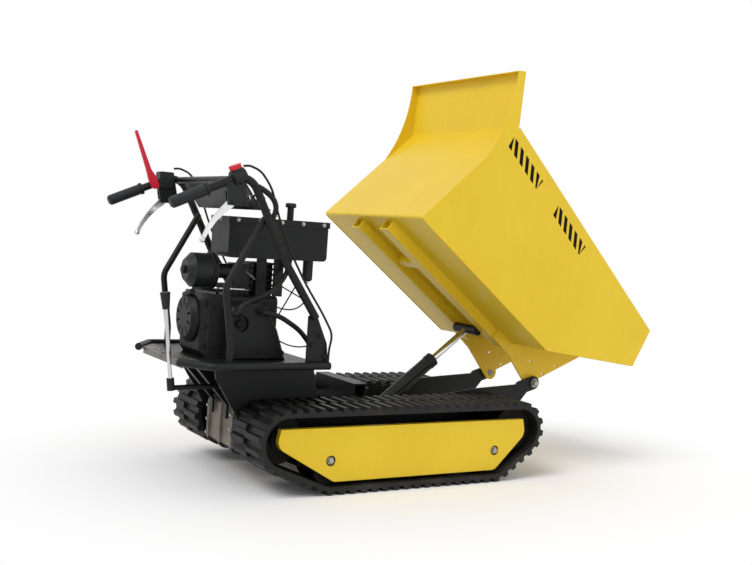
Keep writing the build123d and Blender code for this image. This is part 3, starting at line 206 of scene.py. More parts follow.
def moulded(name, colour, gloss):
    """Moulded plastic: even colour, a spark-eroded grain, and handled patches that shine a little."""
    bench = Bench(name)
    handled = bench.noise(14.0, 3.0)
    spark = bench.noise(900.0, 1.0)
    bench.set(Base_Color=handled.mix(colour, tuple(1.25 * c for c in colour[:3]) + (1.0,)))
    bench.set(Roughness=gloss + (handled - 0.5) * 0.2, Specular_IOR_Level=0.25)
    bench.grain(spark, 0.0003, 0.3)


rubber("track_rubber", rgb(19, 19, 19), rgb(84, 80, 74), 0.12, 300.0)
rubber("grip_rubber", rgb(28, 29, 31), rgb(56, 56, 58), 0.1, 700.0)
rubber("hose_rubber", rgb(20, 20, 21), rgb(50, 48, 46), 0.12, 800.0)
moulded("black_plastic", rgb(24, 25, 26), 0.42)
moulded("red_plastic", rgb(190, 28, 48), 0.3)
print("with rubber and plastic", len(FINISHES))

# %% [markdown]
# The piston rod and brake levers are plated, the pins and bolts are plain steel, and the step is worn plate.
# All are one metal with other colours: a noise stretched along one axis stands for brush lines, and a second
# one for smudges.

# %% Bare metals
def metal(name, colour, gloss, brushed, smudge):
    """Bare metal: fine lines along one axis, and smudges that dull it."""
    bench = Bench(name)
    lines = bench.noise(60.0, 2.0, brushed)
    smudges = bench.noise(16.0, 5.0)
    bench.set(Base_Color=smudges.mix(colour, tuple(0.8 * c for c in colour[:3]) + (1.0,)))
    bench.set(Metallic=1.0, Roughness=gloss + smudges.smooth(0.4, 0.8) * smudge + (lines - 0.5) * 0.08)
    bench.grain(lines, 0.0003, 0.2)


metal("chrome", rgb(214, 214, 216), 0.1, (1, 1, 1), 0.18)
metal("bare_steel", rgb(126, 124, 121), 0.34, (1, 14, 1), 0.25)
metal("step_steel", rgb(122, 119, 112), 0.42, (14, 1, 1), 0.3)
metal("bolt_steel", rgb(176, 172, 164), 0.3, (1, 1, 1), 0.25)
metal("bright_steel", rgb(206, 205, 202), 0.24, (1, 1, 6), 0.2)
print("with metals", len(FINISHES))

# %% [markdown]
# The gearbox is a painted casting, and its coarse skin comes from the sand mould. Noise with much detail
# gives that skin as bump, and slower noise darkens the hollows. A black skid covers its belly. It could be
# a material of its own, but one soft step on the height does it without cutting the solid in two.

# %% Casting
SKID_TOP = 0.108
SKID_BLUR = 0.002


def casting(name, colour, shade, skid):
    """A painted casting: coarse sand-mould skin and darker hollows, with a black skid below its belly."""
    bench = Bench(name)
    skin = bench.noise(160.0, 4.0)
    hollows = bench.noise(11.0, 4.0)
    height = bench.start.node("ShaderNodeSeparateXYZ", {}, {"Vector": bench.place}, "Z")
    body = hollows.smooth(0.3, 0.75).mix(shade, colour)
    bench.set(Base_Color=height.smooth(SKID_TOP - SKID_BLUR, SKID_TOP + SKID_BLUR).mix(skid, body))
    bench.set(Roughness=0.6 + (skin - 0.5) * 0.2)
    bench.grain(skin, 0.0012, 0.5)


casting("cast_case", rgb(132, 123, 110), rgb(100, 92, 82), rgb(30, 30, 31))
print("finishes", len(FINISHES))

# %% [markdown]
# The frame's record says which finish each solid takes. Reading it from there keeps this script and the
# record together, where a list written here could drift apart from it.

# %% Give every solid its finish
for name, piece in nodes.items():
    piece.data.materials.clear()
    piece.data.materials.append(FINISHES[slot_of[name]])
print("dressed", len(nodes), "solids")

# %% [markdown]
# The camera stands where the photographer stood: to the right and behind, at waist height, with a normal
# lens and a slight roll. Its place was worked out from the tracks, the grips and the skip's corners.

# %% Camera
CAMERA_PLACE = (-2.030, -3.186, 0.8375)
CAMERA_YAW = math.radians(31.58)
CAMERA_DIP = math.radians(2.82)
CAMERA_ROLL = math.radians(3.89)
CAMERA_LENS = 50.45
SENSOR = 36.0


def camera_axes(yaw, dip, roll):
    """Right, up and backward axes of a camera that looks yaw from +Y towards +X, dip below level."""
    ahead = np.array([math.sin(yaw) * math.cos(dip), math.cos(yaw) * math.cos(dip), -math.sin(dip)])
    level = np.array([math.cos(yaw), -math.sin(yaw), 0.0])
    above = np.cross(level, ahead)
    right = math.cos(roll) * level + math.sin(roll) * above
    up = -math.sin(roll) * level + math.cos(roll) * above
    return np.stack([right, up, -ahead], axis=1)


camera = bpy.data.objects.new("camera", bpy.data.cameras.new("camera"))
bpy.context.scene.collection.objects.link(camera)
turn = Matrix(camera_axes(CAMERA_YAW, CAMERA_DIP, CAMERA_ROLL).tolist()).to_4x4()
camera.matrix_world = Matrix.Translation(CAMERA_PLACE) @ turn
camera.data.lens = CAMERA_LENS
camera.data.sensor_width = SENSOR
bpy.context.scene.camera = camera
print("camera at", CAMERA_PLACE)

# %% [markdown]
# The light is a pale studio. Lamps alone would leave black shadows under the machine, so an even world gives
# most of the light. It shows white to the camera, in reflections and through glass, and lights at a plain
# level, so that colours come out about as they are written.

# %% Light from all round
RAYS = ("Is Camera Ray", "Is Glossy Ray", "Is Transmission Ray")
WORLD_LIGHT = 0.63


def white_rays(start):
    """1 for rays that show the background, seen straight, in a reflection or through glass, and else 0."""
    straight, mirrored, through = (start.node("ShaderNodeLightPath", {}, {}, ray) for ray in RAYS)
    return start.sum("MAXIMUM", straight, start.sum("MAXIMUM", mirrored, through))


bpy.context.scene.view_settings.view_transform = "Standard"
world = bpy.data.worlds.new("studio")
bpy.context.scene.world = world
world.use_nodes = True
background = world.node_tree.nodes["Background"]
background.inputs["Color"].default_value = (1, 1, 1, 1)
strength = WORLD_LIGHT + white_rays(Shade(world.node_tree)) * (1.0 - WORLD_LIGHT)
world.node_tree.links.new(strength.socket, background.inputs["Strength"])
print("world nodes", len(world.node_tree.nodes))

# %% [markdown]
# Two far lights shape the forms: a broad key light from above, behind the camera's left, and a weaker one on
# the right. Area lamps would fade along the machine, and far lights reach both its ends alike.

# %% Lamps
def broad_light(name, source, power, spread):
    """A far light from the source's direction, of power watts a square metre and spread degrees wide."""
    made = bpy.data.objects.new(name, bpy.data.lights.new(name, "SUN"))
    bpy.context.scene.collection.objects.link(made)
    made.data.energy = power
    made.data.angle = math.radians(spread)
    back = np.array(source) / np.linalg.norm(source)
    level = np.cross((0, 0, 1), back)
    level = level / np.linalg.norm(level)
    axes = np.stack([level, np.cross(back, level), back], axis=1)
    made.matrix_world = Matrix(axes.tolist()).to_4x4()


broad_light("key", (-0.62, -0.22, 0.75), 1.55, 30.0)
broad_light("fill", (0.35, -0.85, 0.4), 0.4, 60.0)
print("lights", len(bpy.data.lights))

# %% [markdown]
# New pieces are surfaces: an array of points, a row for one parameter and a column for the other. These
# helpers turn such an array into a mesh, so no loop ever walks over single points.

# %% From an array of points to a mesh
SAME_POINT = 1e-6


def quads(rows, columns, wrap):
    """Corner numbers of every quad in a grid of points; with wrap the last column meets the first."""
    row, column = np.meshgrid(np.arange(rows - 1), np.arange(columns if wrap else columns - 1), indexing="ij")
    beside = (column + 1) % columns
    here = row * columns
    there = here + columns
    return np.stack([here + column, here + beside, there + beside, there + column], axis=-1).reshape(-1, 4)


def make_mesh(name, points, faces, finish, soft):
    """One mesh from points (n, 3) and quads (m, 4); points that lie on each other become one."""
    work = bmesh.new()
    mesh = bpy.data.meshes.new(name)
    mesh.from_pydata(points.reshape(-1, 3).tolist(), [], faces.tolist())
    work.from_mesh(mesh)
    bmesh.ops.remove_doubles(work, verts=work.verts, dist=SAME_POINT)
    work.to_mesh(mesh)
    work.free()
    mesh.polygons.foreach_set("use_smooth", np.full(len(mesh.polygons), soft))
    mesh.materials.append(FINISHES[finish])
    piece = bpy.data.objects.new(name, mesh)
    bpy.context.scene.collection.objects.link(piece)
    return piece


def make_piece(name, points, faces, finish, body, soft=False):
    """A mesh that rides on a body."""
    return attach(make_mesh(name, points, faces, finish, soft), body)


print("faces of a 3 by 4 tube", len(quads(3, 4, True)))

# %% [markdown]
# Bolts and fittings repeat. Linked copies would each be an object, so one array holds all the copies instead:
# the shape is turned to every axis and moved to every place at once, and they become one mesh.

# %% Copies of one shape
STEEP = 0.9


def copies(shape, places, axes):
    """Set a shape (n, 3) down at each place (k, 3), its Z turned to the axis (k, 3) there."""
    ahead = axes / np.linalg.norm(axes, axis=1, keepdims=True)
    helper = np.where(np.abs(ahead[:, 2:]) < STEEP, [[0.0, 0.0, 1.0]], [[1.0, 0.0, 0.0]])
    level = np.cross(helper, ahead)
    level = level / np.linalg.norm(level, axis=1, keepdims=True)
    frames = np.stack([level, np.cross(ahead, level), ahead], axis=1)
    return places[:, None, :] + np.einsum("nj,kji->kni", shape, frames)


def copy_faces(faces, size, count):
    """The faces of count copies of a shape that has size points."""
    return (faces[None] + (np.arange(count) * size)[:, None, None]).reshape(-1, 4)


print("two copies of a quad", copy_faces(quads(2, 2, False), 4, 2).tolist())

# %% [markdown]
# Most small fittings are turned parts or round lines. A turned part is a profile spun about an axis, and a
# round line is a circle carried along a path. Both are grids of points, closed at their ends.

# %% Round pieces
TURNS = 24
TURN = np.linspace(0, 2 * np.pi, TURNS, endpoint=False)


def lathe(rise, radius):
    """A surface of revolution about Z. A point at turn t is (r cos t, r sin t, rise), and the radius r is
    given for each row, or for each row and turn."""
    rise = np.asarray(rise, float)
    radius = np.asarray(radius, float).reshape(len(rise), -1) * np.ones(TURNS)
    up = rise[:, None] * np.ones(TURNS)
    return np.stack([radius * np.cos(TURN), radius * np.sin(TURN), up], axis=-1).reshape(-1, 3)


def add_round(name, rise, radius, places, axes, finish, body, soft=True):
    """Copies of one round piece at places, each with its axis along axes there."""
    shape = lathe(rise, radius)
    places = np.asarray(places, float).reshape(-1, 3)
    axes = np.broadcast_to(np.asarray(axes, float), places.shape)
    faces = copy_faces(quads(len(rise), TURNS, True), len(shape), len(places))
    return make_piece(name, copies(shape, places, axes), faces, finish, body, soft)


def tube(path, radius, sides=10):
    """A round line: path + r (cos t * level + sin t * upright), both square to the path, with closed ends."""
    ahead = np.gradient(path, axis=0)
    ahead = ahead / np.linalg.norm(ahead, axis=1, keepdims=True)
    helper = np.eye(3)[np.argmin(np.abs(ahead).max(axis=0))]
    level = np.cross(helper, ahead)
    level = (level / np.linalg.norm(level, axis=1, keepdims=True))[:, None, :]
    upright = np.cross(ahead[:, None, :], level)
    turn = np.linspace(0, 2 * np.pi, sides, endpoint=False)[None, :, None]
    reach = (np.asarray(radius, float) * np.ones(len(path)))[:, None, None]
    rings = path[:, None, :] + reach * (np.cos(turn) * level + np.sin(turn) * upright)
    ends = [np.repeat(path[k][None, None, :], sides, axis=1) for k in (0, -1)]
    return np.concatenate([ends[0], rings, ends[1]])


def add_tube(name, path, radius, finish, body, sides=10):
    """A piece that is one round line."""
    points = tube(path, radius, sides)
    return make_piece(name, points, quads(len(points), sides, True), finish, body, True)


print("a lathe has", TURNS, "sides")

# %% [markdown]
# The floor is a wide disc. Near the machine it is a pale matt surface that takes the shadow. Further out the
# camera and the reflections see it turn white, so that no horizon shows.

# %% Floor
FLOOR_REACH = 30.0
SHADOW_REACH = 0.6
WHITE_REACH = 1.3
FLOOR_STRETCH = (0.72, 1.1, 1.0)
disc = lathe([0.0, 0.0], [0.0, FLOOR_REACH])
floor_bench = Bench("floor")
floor_bench.set(Base_Color=rgb(248, 248, 248), Roughness=0.8)
floor_start = floor_bench.start
floor_tree = floor_start.tree
oval = floor_start.node("ShaderNodeMapping", {}, {"Vector": floor_bench.place, "Scale": FLOOR_STRETCH})
reach = floor_start.node("ShaderNodeVectorMath", {"operation": "LENGTH"}, {0: oval}, "Value")
white = floor_start.node("ShaderNodeEmission", {}, {"Color": (1, 1, 1, 1), "Strength": 1.0})
ground = Shade(floor_tree, floor_bench.surface.outputs["BSDF"])
share = reach.smooth(SHADOW_REACH, WHITE_REACH) * white_rays(floor_start)
both = floor_start.node("ShaderNodeMixShader", {}, {0: share, 1: ground, 2: white})
floor_tree.links.new(both.socket, floor_tree.nodes["Material Output"].inputs["Surface"])
floor = make_mesh("floor", disc, quads(2, TURNS, True)[:, ::-1], "floor", False)
print("floor", len(floor.data.polygons), "faces")

# %% [markdown]
# The skip's frame of reference: U runs along its floor from the rear edge and W stands square to it. Places
# on the skip are written there, and one function turns them to where the tipped skip stands.

# %% The skip's own frame
TIP = math.radians(37.24)
HINGE = np.array([0.566, 0.305])
HINGE_UW = np.array([0.8976, -0.0522])
SKIP_SIDE = 0.3307
REAR_TOP = np.array([0.0945, 0.489])
FRONT_TOP = np.array([1.078, 0.359])


def from_skip(u, y, w):
    """Points of the tipped skip, from U and W turned about the hinge by the tipping angle."""
    du = u - HINGE_UW[0]
    dw = w - HINGE_UW[1]
    x = HINGE[0] + du * math.cos(TIP) + dw * math.sin(TIP)
    z = HINGE[1] - du * math.sin(TIP) + dw * math.cos(TIP)
    return np.stack(np.broadcast_arrays(x, y, z), axis=-1)


print("rear top corner at", np.round(from_skip(REAR_TOP[0], SKIP_SIDE, REAR_TOP[1]), 3))

# %% [markdown]
# The warning stripes are thin film stuck to the side walls, in two bands just below the top edge. A texture
# could draw them, but film has an edge of its own, so each bar is a small patch. A band is cut off square at
# both ends, which leaves only corners of its first and last bars.

# %% Warning stripes
BAND_STARTS = np.array([0.012, 0.323])
BAND_LENGTH = 0.200
BAND_TOP = 0.033
BAND_DEPTH = 0.0425
BAR_PITCH = 0.0366
BAR_WIDTH = 0.0205
FILM_EDGE = 0.03
BAR_SLANT = 0.92
FILM = 0.0004
BARS = 7
BAR_START = 0.008
EDGE_SINK = -0.25
FILM_ROWS = 4


def stripe_points(side):
    """Bars of a band: along = start + bar * pitch + s * width + slant * t, cut to the band, t downwards.
    The film's edge (s or t at 0 or 1) sinks into the wall and the rest stands a film's thickness out."""
    across = np.array([0.0, FILM_EDGE, 1.0 - FILM_EDGE, 1.0])
    start, bar, s, t = np.meshgrid(BAND_STARTS, np.arange(BARS) - 1.0, across, across, indexing="ij")
    along = BAR_START + bar * BAR_PITCH + s * BAR_WIDTH + BAR_SLANT * t * BAND_DEPTH
    along = start + np.clip(along, 0.0, BAND_LENGTH)
    down = BAND_TOP + t * BAND_DEPTH
    edge = (FRONT_TOP - REAR_TOP) / np.linalg.norm(FRONT_TOP - REAR_TOP)
    u = REAR_TOP[0] + along * edge[0] + down * edge[1]
    w = REAR_TOP[1] + along * edge[1] - down * edge[0]
    rim = (s == 0) | (s == 1) | (t == 0) | (t == 1)
    return from_skip(u, side * (SKIP_SIDE + np.where(rim, EDGE_SINK, 1.0) * FILM), w)


for side, name in ((-1, "right"), (1, "left")):
    film = stripe_points(side)
    count = film.shape[0] * film.shape[1]
    faces = copy_faces(quads(FILM_ROWS, FILM_ROWS, False), FILM_ROWS ** 2, count)
    make_piece("stripes_" + name, film, faces[:, ::side], "stripe_black", "skip")
print("stripes", 2 * count, "bars")

# %% [markdown]
# Where the skip's sheets meet, a welder has run a bead along the corner. It is a round line whose radius
# swells and shrinks along the way, as the weld pool did.

# %% Weld beads
BEAD_R = 0.0022
BEAD_RIPPLE = 0.0075
BEAD_STEP = 0.0025
BEAD_SWELL = 0.16
SHEET = 0.003
SIDE_CORNERS = np.array([[0.012, 0.0], [0.721, 0.0], [1.094, 0.2093]])


def add_bead(name, corners, y):
    """A bead through corners (u, w) on the skip: r = R (1 + swell cos(2 pi s / ripple)), s along the line."""
    leg = np.linalg.norm(np.diff(corners, axis=0), axis=1)
    knots = np.concatenate([[0.0], np.cumsum(leg)])
    s = np.arange(0.0, knots[-1], BEAD_STEP)
    path = from_skip(np.interp(s, knots, corners[:, 0]), y, np.interp(s, knots, corners[:, 1]))
    radius = BEAD_R * (1 + BEAD_SWELL * np.cos(2 * np.pi * s / BEAD_RIPPLE))
    return add_tube(name, path, radius, "yellow_paint", "skip", 8)


for side, name in ((-1, "right"), (1, "left")):
    add_bead("weld_bead_" + name, SIDE_CORNERS, side * (SKIP_SIDE - SHEET))
print("weld beads", 2)

# %% [markdown]
# A bolt is one surface of revolution whose radius also depends on the turn: round at the washer, and a
# hexagon above it. Copies are set down all at once, each with its axis along the face that it holds.

# %% Bolts
HEAD_HEIGHT = 0.62
WASHER_R = 0.75
WASHER_EDGE = 0.94
HEAD_TOP_R = 0.44
BOLT_RISE = np.array([-0.1, -0.1, 0.12, 0.18, 0.18, 0.88, 1.0, 1.0])


def hexagon(across):
    """A hexagon's radius at a turn: its apothem divided by the cosine of the turn from the nearest flat."""
    flat = (TURN + np.pi / 6) % (np.pi / 3) - np.pi / 6
    return across / 2 / np.cos(flat)


def add_bolts(name, places, axes, across, finish="bolt_steel", body="chassis"):
    """Bolts at places, with heads pointing along axes: a washer, and a head that is chamfered at its top.
    Its height and radii are shares of the width across the flats, WASHER_EDGE is a share of the washer's
    radius, and BOLT_RISE has shares of the head's height."""
    height = across * HEAD_HEIGHT
    washer = np.full(TURNS, across * WASHER_R)
    top = np.full(TURNS, across * HEAD_TOP_R)
    head = hexagon(across)
    radius = np.stack([washer * 0, washer, washer, washer * WASHER_EDGE, head, head, top, top * 0])
    return add_round(name, BOLT_RISE * height, radius, places, axes, finish, body, False)


print("a 10 mm head is", round(2000 * hexagon(0.010).max(), 1), "mm across its corners")

# %% [markdown]
# The oil tank's lid has a folded rim with small bright bolts through it. Their rows could be set by hand, but
# set out from the lid's own box they stay on its rim.

# %% Tank: rim bolts
SMALL_BOLT = 0.009
RIM_BOLTS = 5
RIM_Z = 0.842
RIM_REAR_GAP = 0.032
RIM_FRONT_GAP = 0.023
REAR_BOLT_Y = -0.057
lid_low, lid_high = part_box("tank_lid")
rim_first = lid_low[0] + RIM_REAR_GAP
rim_last = lid_high[0] - RIM_FRONT_GAP
for side, name, y in ((-1, "right", lid_low[1]), (1, "left", lid_high[1])):
    rim_row = np.linspace((rim_first, y, RIM_Z), (rim_last, y, RIM_Z), RIM_BOLTS)
    add_bolts("lid_bolts_" + name, rim_row, (0, side, 0), SMALL_BOLT)
add_bolts("lid_bolt_rear", [(lid_low[0], REAR_BOLT_Y, RIM_Z)], (-1, 0, 0), SMALL_BOLT)
print("lid bolts", 2 * RIM_BOLTS + 1)

# %% [markdown]
# The filler cap has ribs for the fingers. They could be an array of small boxes, but here the cap's radius
# just rises and falls with the turn. A nut closes the filter bowl below the tank.

# %% Tank: filler cap and filter nut
FILLER = (-0.465, -0.075, 0.0)
CAP_RISE = [0.8935, 0.8945, 0.9055, 0.9068]
CAP_R = 0.0166
CAP_RIB = 0.0011
CAP_LIP = 0.9
FILTER_NUT = 0.012
cap_ribs = CAP_R + CAP_RIB * np.abs(np.cos(6 * TURN))
cap_radius = np.stack([cap_ribs * CAP_LIP, cap_ribs, cap_ribs, cap_ribs * CAP_LIP])
add_round("filler_ribs", CAP_RISE, cap_radius, [FILLER], (0, 0, 1), "black_plastic", "chassis")
bowl_low, bowl_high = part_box("return_filter")
bowl_middle = np.add(bowl_low, bowl_high) / 2
add_bolts("filter_nut", [(bowl_middle[0], bowl_middle[1], bowl_low[2])], (0, 0, -1), FILTER_NUT)
print("cap across its ribs", round(2000 * cap_ribs.max(), 1), "mm")

# %% [markdown]
# The grips are soft sleeves with rings for the hand. Bump alone would leave their outline smooth, so the
# rings are in the profile: the sine's size, raised to a power under 1, gives broad rings with narrow grooves.

# %% Grips
GRIP_REAR = np.array([-0.959, 0.876])
GRIP_WAY = np.array([0.9125, 0.4093])
GRIP_SPAN = (0.005, 0.109)
GRIP_ROWS = 106
GRIP_END_R = 0.015
BAR_Y = 0.291
RIB_PITCH = 0.008
RIB_FOOT = 0.0164
RIB_RISE = 0.0013
RIB_POWER = 0.6


def on_grip(y, along, rise):
    """A place near a grip: along its axis from its rear end, and square above the axis."""
    x = GRIP_REAR[0] + along * GRIP_WAY[0] - rise * GRIP_WAY[1]
    z = GRIP_REAR[1] + along * GRIP_WAY[1] + rise * GRIP_WAY[0]
    return (x, y, z)


grip_axis = (GRIP_WAY[0], 0.0, GRIP_WAY[1])
rows = np.linspace(*GRIP_SPAN, GRIP_ROWS)
ribs = RIB_FOOT + RIB_RISE * np.abs(np.sin(np.pi * rows / RIB_PITCH)) ** RIB_POWER
ribs[[0, -1]] = GRIP_END_R
grip_ends = [on_grip(side * BAR_Y, 0.0, 0.0) for side in (-1, 1)]
add_round("grip_ribs", rows, ribs, grip_ends, grip_axis, "grip_rubber", "chassis")
print("rings on a grip", int((GRIP_SPAN[1] - GRIP_SPAN[0]) / RIB_PITCH))

# %% [markdown]
# Each lever's clamp has three bolts, and a stepped screw that takes up its cable's slack. They are placed
# along the grip's axis, so they lean with it.

# %% Levers: clamp bolts and cable screws
CLAMP_FACE = 0.302
LEVER_BOLTS = ((0.180, -0.062), (0.216, -0.078), (0.226, -0.018))
for side, name in ((-1, "right"), (1, "left")):
    pivots = [on_grip(side * CLAMP_FACE, along, rise) for along, rise in LEVER_BOLTS]
    add_bolts("lever_bolts_" + name, pivots, (0, side, 0), SMALL_BOLT, "black_plastic")
ADJUSTER_SEAT = (0.228, -0.070)
ADJUSTER_RISE = [-0.004, -0.004, 0.006, 0.006, 0.012, 0.012, 0.020, 0.020, 0.034, 0.034]
ADJUSTER_R = [0.0, 0.005, 0.005, 0.0075, 0.0075, 0.005, 0.005, 0.0036, 0.003, 0.0]
seats = [on_grip(side * BAR_Y, *ADJUSTER_SEAT) for side in (-1, 1)]
add_round("cable_adjusters", ADJUSTER_RISE, ADJUSTER_R, seats, grip_axis, "bright_steel", "chassis")
print("lever bolts", 2 * len(LEVER_BOLTS), "screws", len(seats))

# %% [markdown]
# Bands tie the cables to the bars. Each is a short ring around the tube, square to the bar's slope.

# %% Ties on the bars
BAR_WAY = np.array([0.139, 0.0, -0.267])
TIE_SPOTS = ((-0.676, 0.908), (-0.610, 0.781))
TIE_RISE = [-0.0028, -0.0028, 0.0028, 0.0028]
TIE_R = [0.0122, 0.0138, 0.0138, 0.0122]
tie_places = [(x, side * BAR_Y, z) for x, z in TIE_SPOTS for side in (-1, 1)]
add_round("bar_ties", TIE_RISE, TIE_R, tie_places, BAR_WAY, "hose_rubber", "chassis")
print("bar ties", len(tie_places))

# %% [markdown]
# Black bolts hold the engine's cowl, on its slanted edge and on its sides. They are listed one by one,
# because the cowl's box doesn't tell where its slant lies.

# %% Engine: cowl bolts
FRAME_BOLT = 0.011
COWL_SIDE = 0.105
COWL_X = -0.722
COWL_ROWS = (0.570, 0.440)
slant = [(-0.754, -0.097, 0.573), (-0.751, -0.094, 0.500), (-0.751, -0.094, 0.440)]
add_bolts("cowl_bolts", slant, (-1, -1, 0), FRAME_BOLT, "engine_black")
sides = [(COWL_X, side * COWL_SIDE, z) for side in (-1, 1) for z in COWL_ROWS]
side_ways = [(0, side, 0) for side in (-1, -1, 1, 1)]
add_bolts("cowl_side_bolts", sides, side_ways, FRAME_BOLT, "engine_black")
print("cowl bolts", len(slant) + len(sides))

# %% [markdown]
# A pressed hoop closes the round air cleaner, and a ribbed knob at its rear opens it. Both are turned
# profiles about the cleaner's axis, and the knob's radius changes with the turn as the filler cap's does.

# %% Engine: air cleaner
CLEANER = (-0.025, 0.674)
HOOP_X = -0.7225
HOOP_RISE = [0.0, 0.0, 0.001, 0.009, 0.010, 0.010]
HOOP_R = [0.054, 0.0585, 0.0592, 0.0592, 0.0585, 0.054]
add_round("cleaner_band", HOOP_RISE, HOOP_R, [(HOOP_X, *CLEANER)], (1, 0, 0), "engine_black", "chassis")
KNOB_X = -0.800
KNOB_RISE = [-0.002, -0.002, 0.010, 0.012, 0.012]
KNOB_R = 0.0115
KNOB_RIB = 0.0015
KNOB_TOP = 0.8
knob = KNOB_R + KNOB_RIB * np.abs(np.cos(5 * TURN))
knob_radius = np.stack([knob * 0, knob, knob, knob * KNOB_TOP, knob * 0])
knob_place = (KNOB_X, *CLEANER)
add_round("cleaner_knob", KNOB_RISE, knob_radius, [knob_place], (-1, 0, 0), "black_plastic", "chassis")
print("knob across its ribs", round(2000 * knob.max(), 1), "mm")

# %% [markdown]
# The governor's spring is a helix: a circle's point that moves on along the spring's axis as it turns. The
# same tube follows it, only thinner. A bright rod on two posts runs beside it.

# %% Engine: governor spring and rod
SPRING_R = 0.0045
SPRING_WIRE_R = 0.0009
SPRING_TURNS = 11
STEPS_A_TURN = 16
s = np.linspace(0, 1, STEPS_A_TURN * SPRING_TURNS)[:, None]
spring_first = np.array([-0.606, -0.058, 0.679])
spring_last = np.array([-0.566, -0.058, 0.650])
spring_way = (spring_last - spring_first) / np.linalg.norm(spring_last - spring_first)
sideways = np.array([0.0, 1.0, 0.0])
spring_up = np.cross(spring_way, sideways)
angle = 2 * np.pi * SPRING_TURNS * s
circle = SPRING_R * (np.cos(angle) * spring_up + np.sin(angle) * sideways)
coil = spring_first + s * (spring_last - spring_first) + circle
add_tube("governor_spring", coil, SPRING_WIRE_R, "bright_steel", "chassis", 6)
ROD_Y = -0.080
ROD_R = 0.0042
ROD_ROWS = 8
ROD_ENDS = ((-0.720, ROD_Y, 0.621), (-0.599, ROD_Y, 0.618))
add_tube("governor_rod", np.linspace(*ROD_ENDS, ROD_ROWS), ROD_R, "bright_steel", "chassis")
POST_RISE = [-0.024, -0.024, 0.004, 0.006, 0.006]
POST_R = [0.0, 0.005, 0.005, 0.003, 0.0]
posts = [(-0.708, ROD_Y, 0.621), (-0.611, ROD_Y, 0.618)]
add_round("governor_posts", POST_RISE, POST_R, posts, (0, 0, 1), "engine_black", "chassis")
print("spring rows", len(coil))

# %% [markdown]
# The belt drive hides under a flat cover, with three bolts near the deck and the hub's nut in its round
# recess. The gearbox halves meet in flanges, which get a row of bolts each. Cover and flanges give their
# faces by their boxes.

# %% Drive cover and gearbox bolts
COVER_BOLTS_X = (-0.676, -0.505, -0.585)
COVER_BOLTS_Z = 0.425
HUB_X = -0.655
HUB_Z = 0.516
HUB_DEPTH = 0.012
HUB_NUT = 0.022
cover_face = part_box("drive_cover")[0][1]
cover_spots = [(x, cover_face, COVER_BOLTS_Z) for x in COVER_BOLTS_X]
add_bolts("drive_cover_bolts", cover_spots, (0, -1, 0), SMALL_BOLT, "engine_black")
add_bolts("drive_hub", [(HUB_X, cover_face + HUB_DEPTH, HUB_Z)], (0, -1, 0), HUB_NUT, "dark_steel")

FLANGE_Y = 0.097
FLANGE_GAP = 0.035
FLANGE_BOLT = 0.010
FLANGE_BOLTS = 3
gear_low, gear_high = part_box("gearbox")
flange_z = np.linspace(gear_low[2] + FLANGE_GAP, gear_high[2] - FLANGE_GAP, FLANGE_BOLTS)
flange_spots = [(gear_low[0], side * FLANGE_Y, z) for side in (-1, 1) for z in flange_z]
add_bolts("gearbox_bolts", flange_spots, (-1, 0, 0), FLANGE_BOLT)
print("cover bolts", len(cover_spots), "gearbox bolts", len(flange_spots))

# %% [markdown]
# Each hydraulic hose ends in a crimped ferrule: a collar on the port, a neck, and a sleeve pressed onto the
# hose. One profile serves all four ends.

# %% Hoses: crimped ends
FERRULE = [-0.002, -0.002, 0.008, 0.008, 0.010, 0.026, 0.028, 0.028]
FERRULE_R = [0.0, 0.011, 0.011, 0.0092, 0.0104, 0.0104, 0.0092, 0.007]
hose_ends = [
    (-0.470, -0.095, 0.722),
    (-0.676, -0.158, 0.548),
    (-0.590, -0.158, 0.556),
    (-0.424, -0.200, 0.400),
]
hose_ways = [(0, 0, -1), (0, -1, 0), (0, -1, 0), (0, 0, 1)]
add_round("hose_ends", FERRULE, FERRULE_R, hose_ends, hose_ways, "dark_steel", "chassis")
print("hose ends", len(hose_ends))

# %% [markdown]
# Thin control wires run from the bars to the engine. Some are pulled straight and some bow under their own
# weight. A quadratic curve drawn by three given points gives both, and a tube follows it. The sleeve at
# the right shoulder keeps the wires together there. It is the same tube with a ripple along its radius.

# %% Control wires
WIRE_R = 0.0022
SLEEVE_R = 0.0085
SLEEVE_RIPPLE = 0.006
SLEEVE_SWELL = 0.13


def bow(first, middle, last, count=24):
    """A bowed line: (1 - t)^2 first + 2 t (1 - t) middle + t^2 last, drawn towards its middle point."""
    t = np.linspace(0, 1, count)[:, None]
    return (1 - t) ** 2 * np.array(first) + 2 * t * (1 - t) * np.array(middle) + t ** 2 * np.array(last)


wires = [
    ((-0.532, -0.280, 0.653), (-0.531, -0.219, 0.597), (-0.530, -0.157, 0.540)),
    ((-0.493, -0.071, 0.640), (-0.497, -0.175, 0.623), (-0.500, -0.281, 0.606)),
    ((-0.545, -0.157, 0.575), (-0.500, -0.220, 0.553), (-0.500, -0.281, 0.602)),
    ((-0.516, -0.157, 0.462), (-0.470, -0.220, 0.432), (-0.440, -0.279, 0.480)),
]
for k, points in enumerate(wires):
    add_tube(f"control_wire_{k + 1}", bow(*points), WIRE_R, "hose_rubber", "chassis", 8)
sleeve_path = bow((-0.686, -0.291, 0.944), (-0.588, -0.291, 0.905), (-0.644, -0.291, 0.836), 120)
steps = np.linalg.norm(np.diff(sleeve_path, axis=0), axis=1)
s = np.concatenate([[0.0], np.cumsum(steps)])
sleeve_r = SLEEVE_R * (1 + SLEEVE_SWELL * np.cos(2 * np.pi * s / SLEEVE_RIPPLE))
add_tube("wire_sleeve", sleeve_path, sleeve_r, "hose_rubber", "chassis")
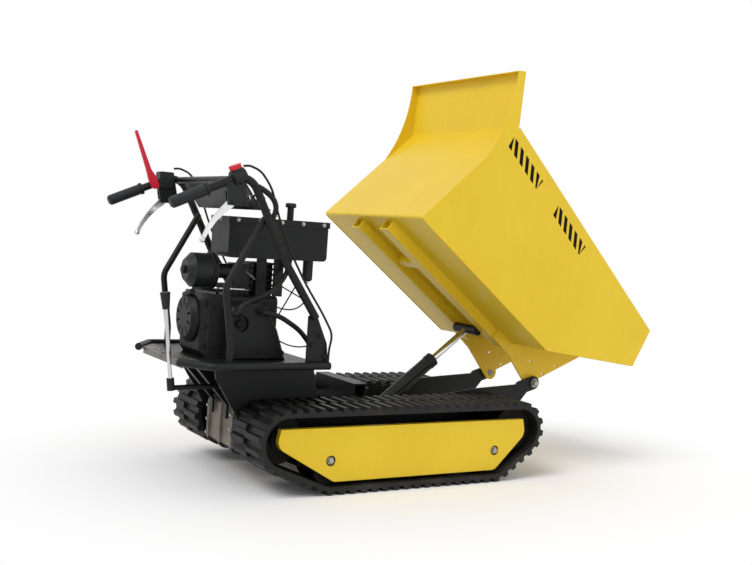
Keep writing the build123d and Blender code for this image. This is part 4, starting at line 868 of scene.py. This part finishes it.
print("wires", len(wires), "sleeve", round(1000 * s[-1]), "mm")

# %% [markdown]
# The bars' feet are bolted to the deck, the tipping hinge turns on two pins, and each side cover is held by
# two nuts in round holes. They are all the same bolt in other sizes, placed on the faces of the solids.

# %% Frame bolts, hinge nuts, cover nuts
FOOT_SPOTS = ((-0.439, 0.494), (-0.465, 0.465), (-0.420, 0.430))
foot_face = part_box("handle_feet")[0][1]
foot_spots = [(x, side * foot_face, z) for side in (1, -1) for x, z in FOOT_SPOTS]
foot_ways = [(0, -side, 0) for side in (1, 1, 1, -1, -1, -1)]
add_bolts("foot_bolts", foot_spots, foot_ways, FRAME_BOLT, "black_paint")

HINGE_NUT = 0.019
pin_low, pin_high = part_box("hinge_pins")
pins = [(HINGE[0], y, HINGE[1]) for y in (pin_low[1], pin_high[1])]
add_bolts("hinge_nuts", pins, [(0, -1, 0), (0, 1, 0)], HINGE_NUT)

EAR_FACE = 0.337
EAR_Z = 0.107
EAR_X = (-0.402, 0.245)
EAR_NUT = 0.016
ear_spots = [(x, side * EAR_FACE, EAR_Z) for side in (-1, 1) for x in EAR_X]
add_bolts("cover_nuts", ear_spots, side_ways, EAR_NUT)
print("frame bolts", len(foot_spots) + len(pins) + len(ear_spots))

# %% [markdown]
# The rod slides through a black wiper ring at the barrel's end. The ring rides on the barrel, so it stays
# there when the rod goes in. Its axis runs from the barrel's foot to the eye under the skip.

# %% Cylinder: rod wiper
CYLINDER_FOOT = np.array([-0.050, 0.0, 0.192])
EYE = from_skip(0.6077, 0.0, -0.0376)
ram_way = (EYE - CYLINDER_FOOT) / np.linalg.norm(EYE - CYLINDER_FOOT)
BARREL_END = 0.308
WIPER_RISE = [-0.004, -0.004, 0.002, 0.005, 0.005]
WIPER_R = [0.0, 0.021, 0.021, 0.0175, 0.0]
gland = CYLINDER_FOOT + BARREL_END * ram_way
add_round("rod_wiper", WIPER_RISE, WIPER_R, [gland], ram_way, "black_plastic", "cylinder_barrel")
print("ram length", round(float(np.linalg.norm(EYE - CYLINDER_FOOT)), 3))
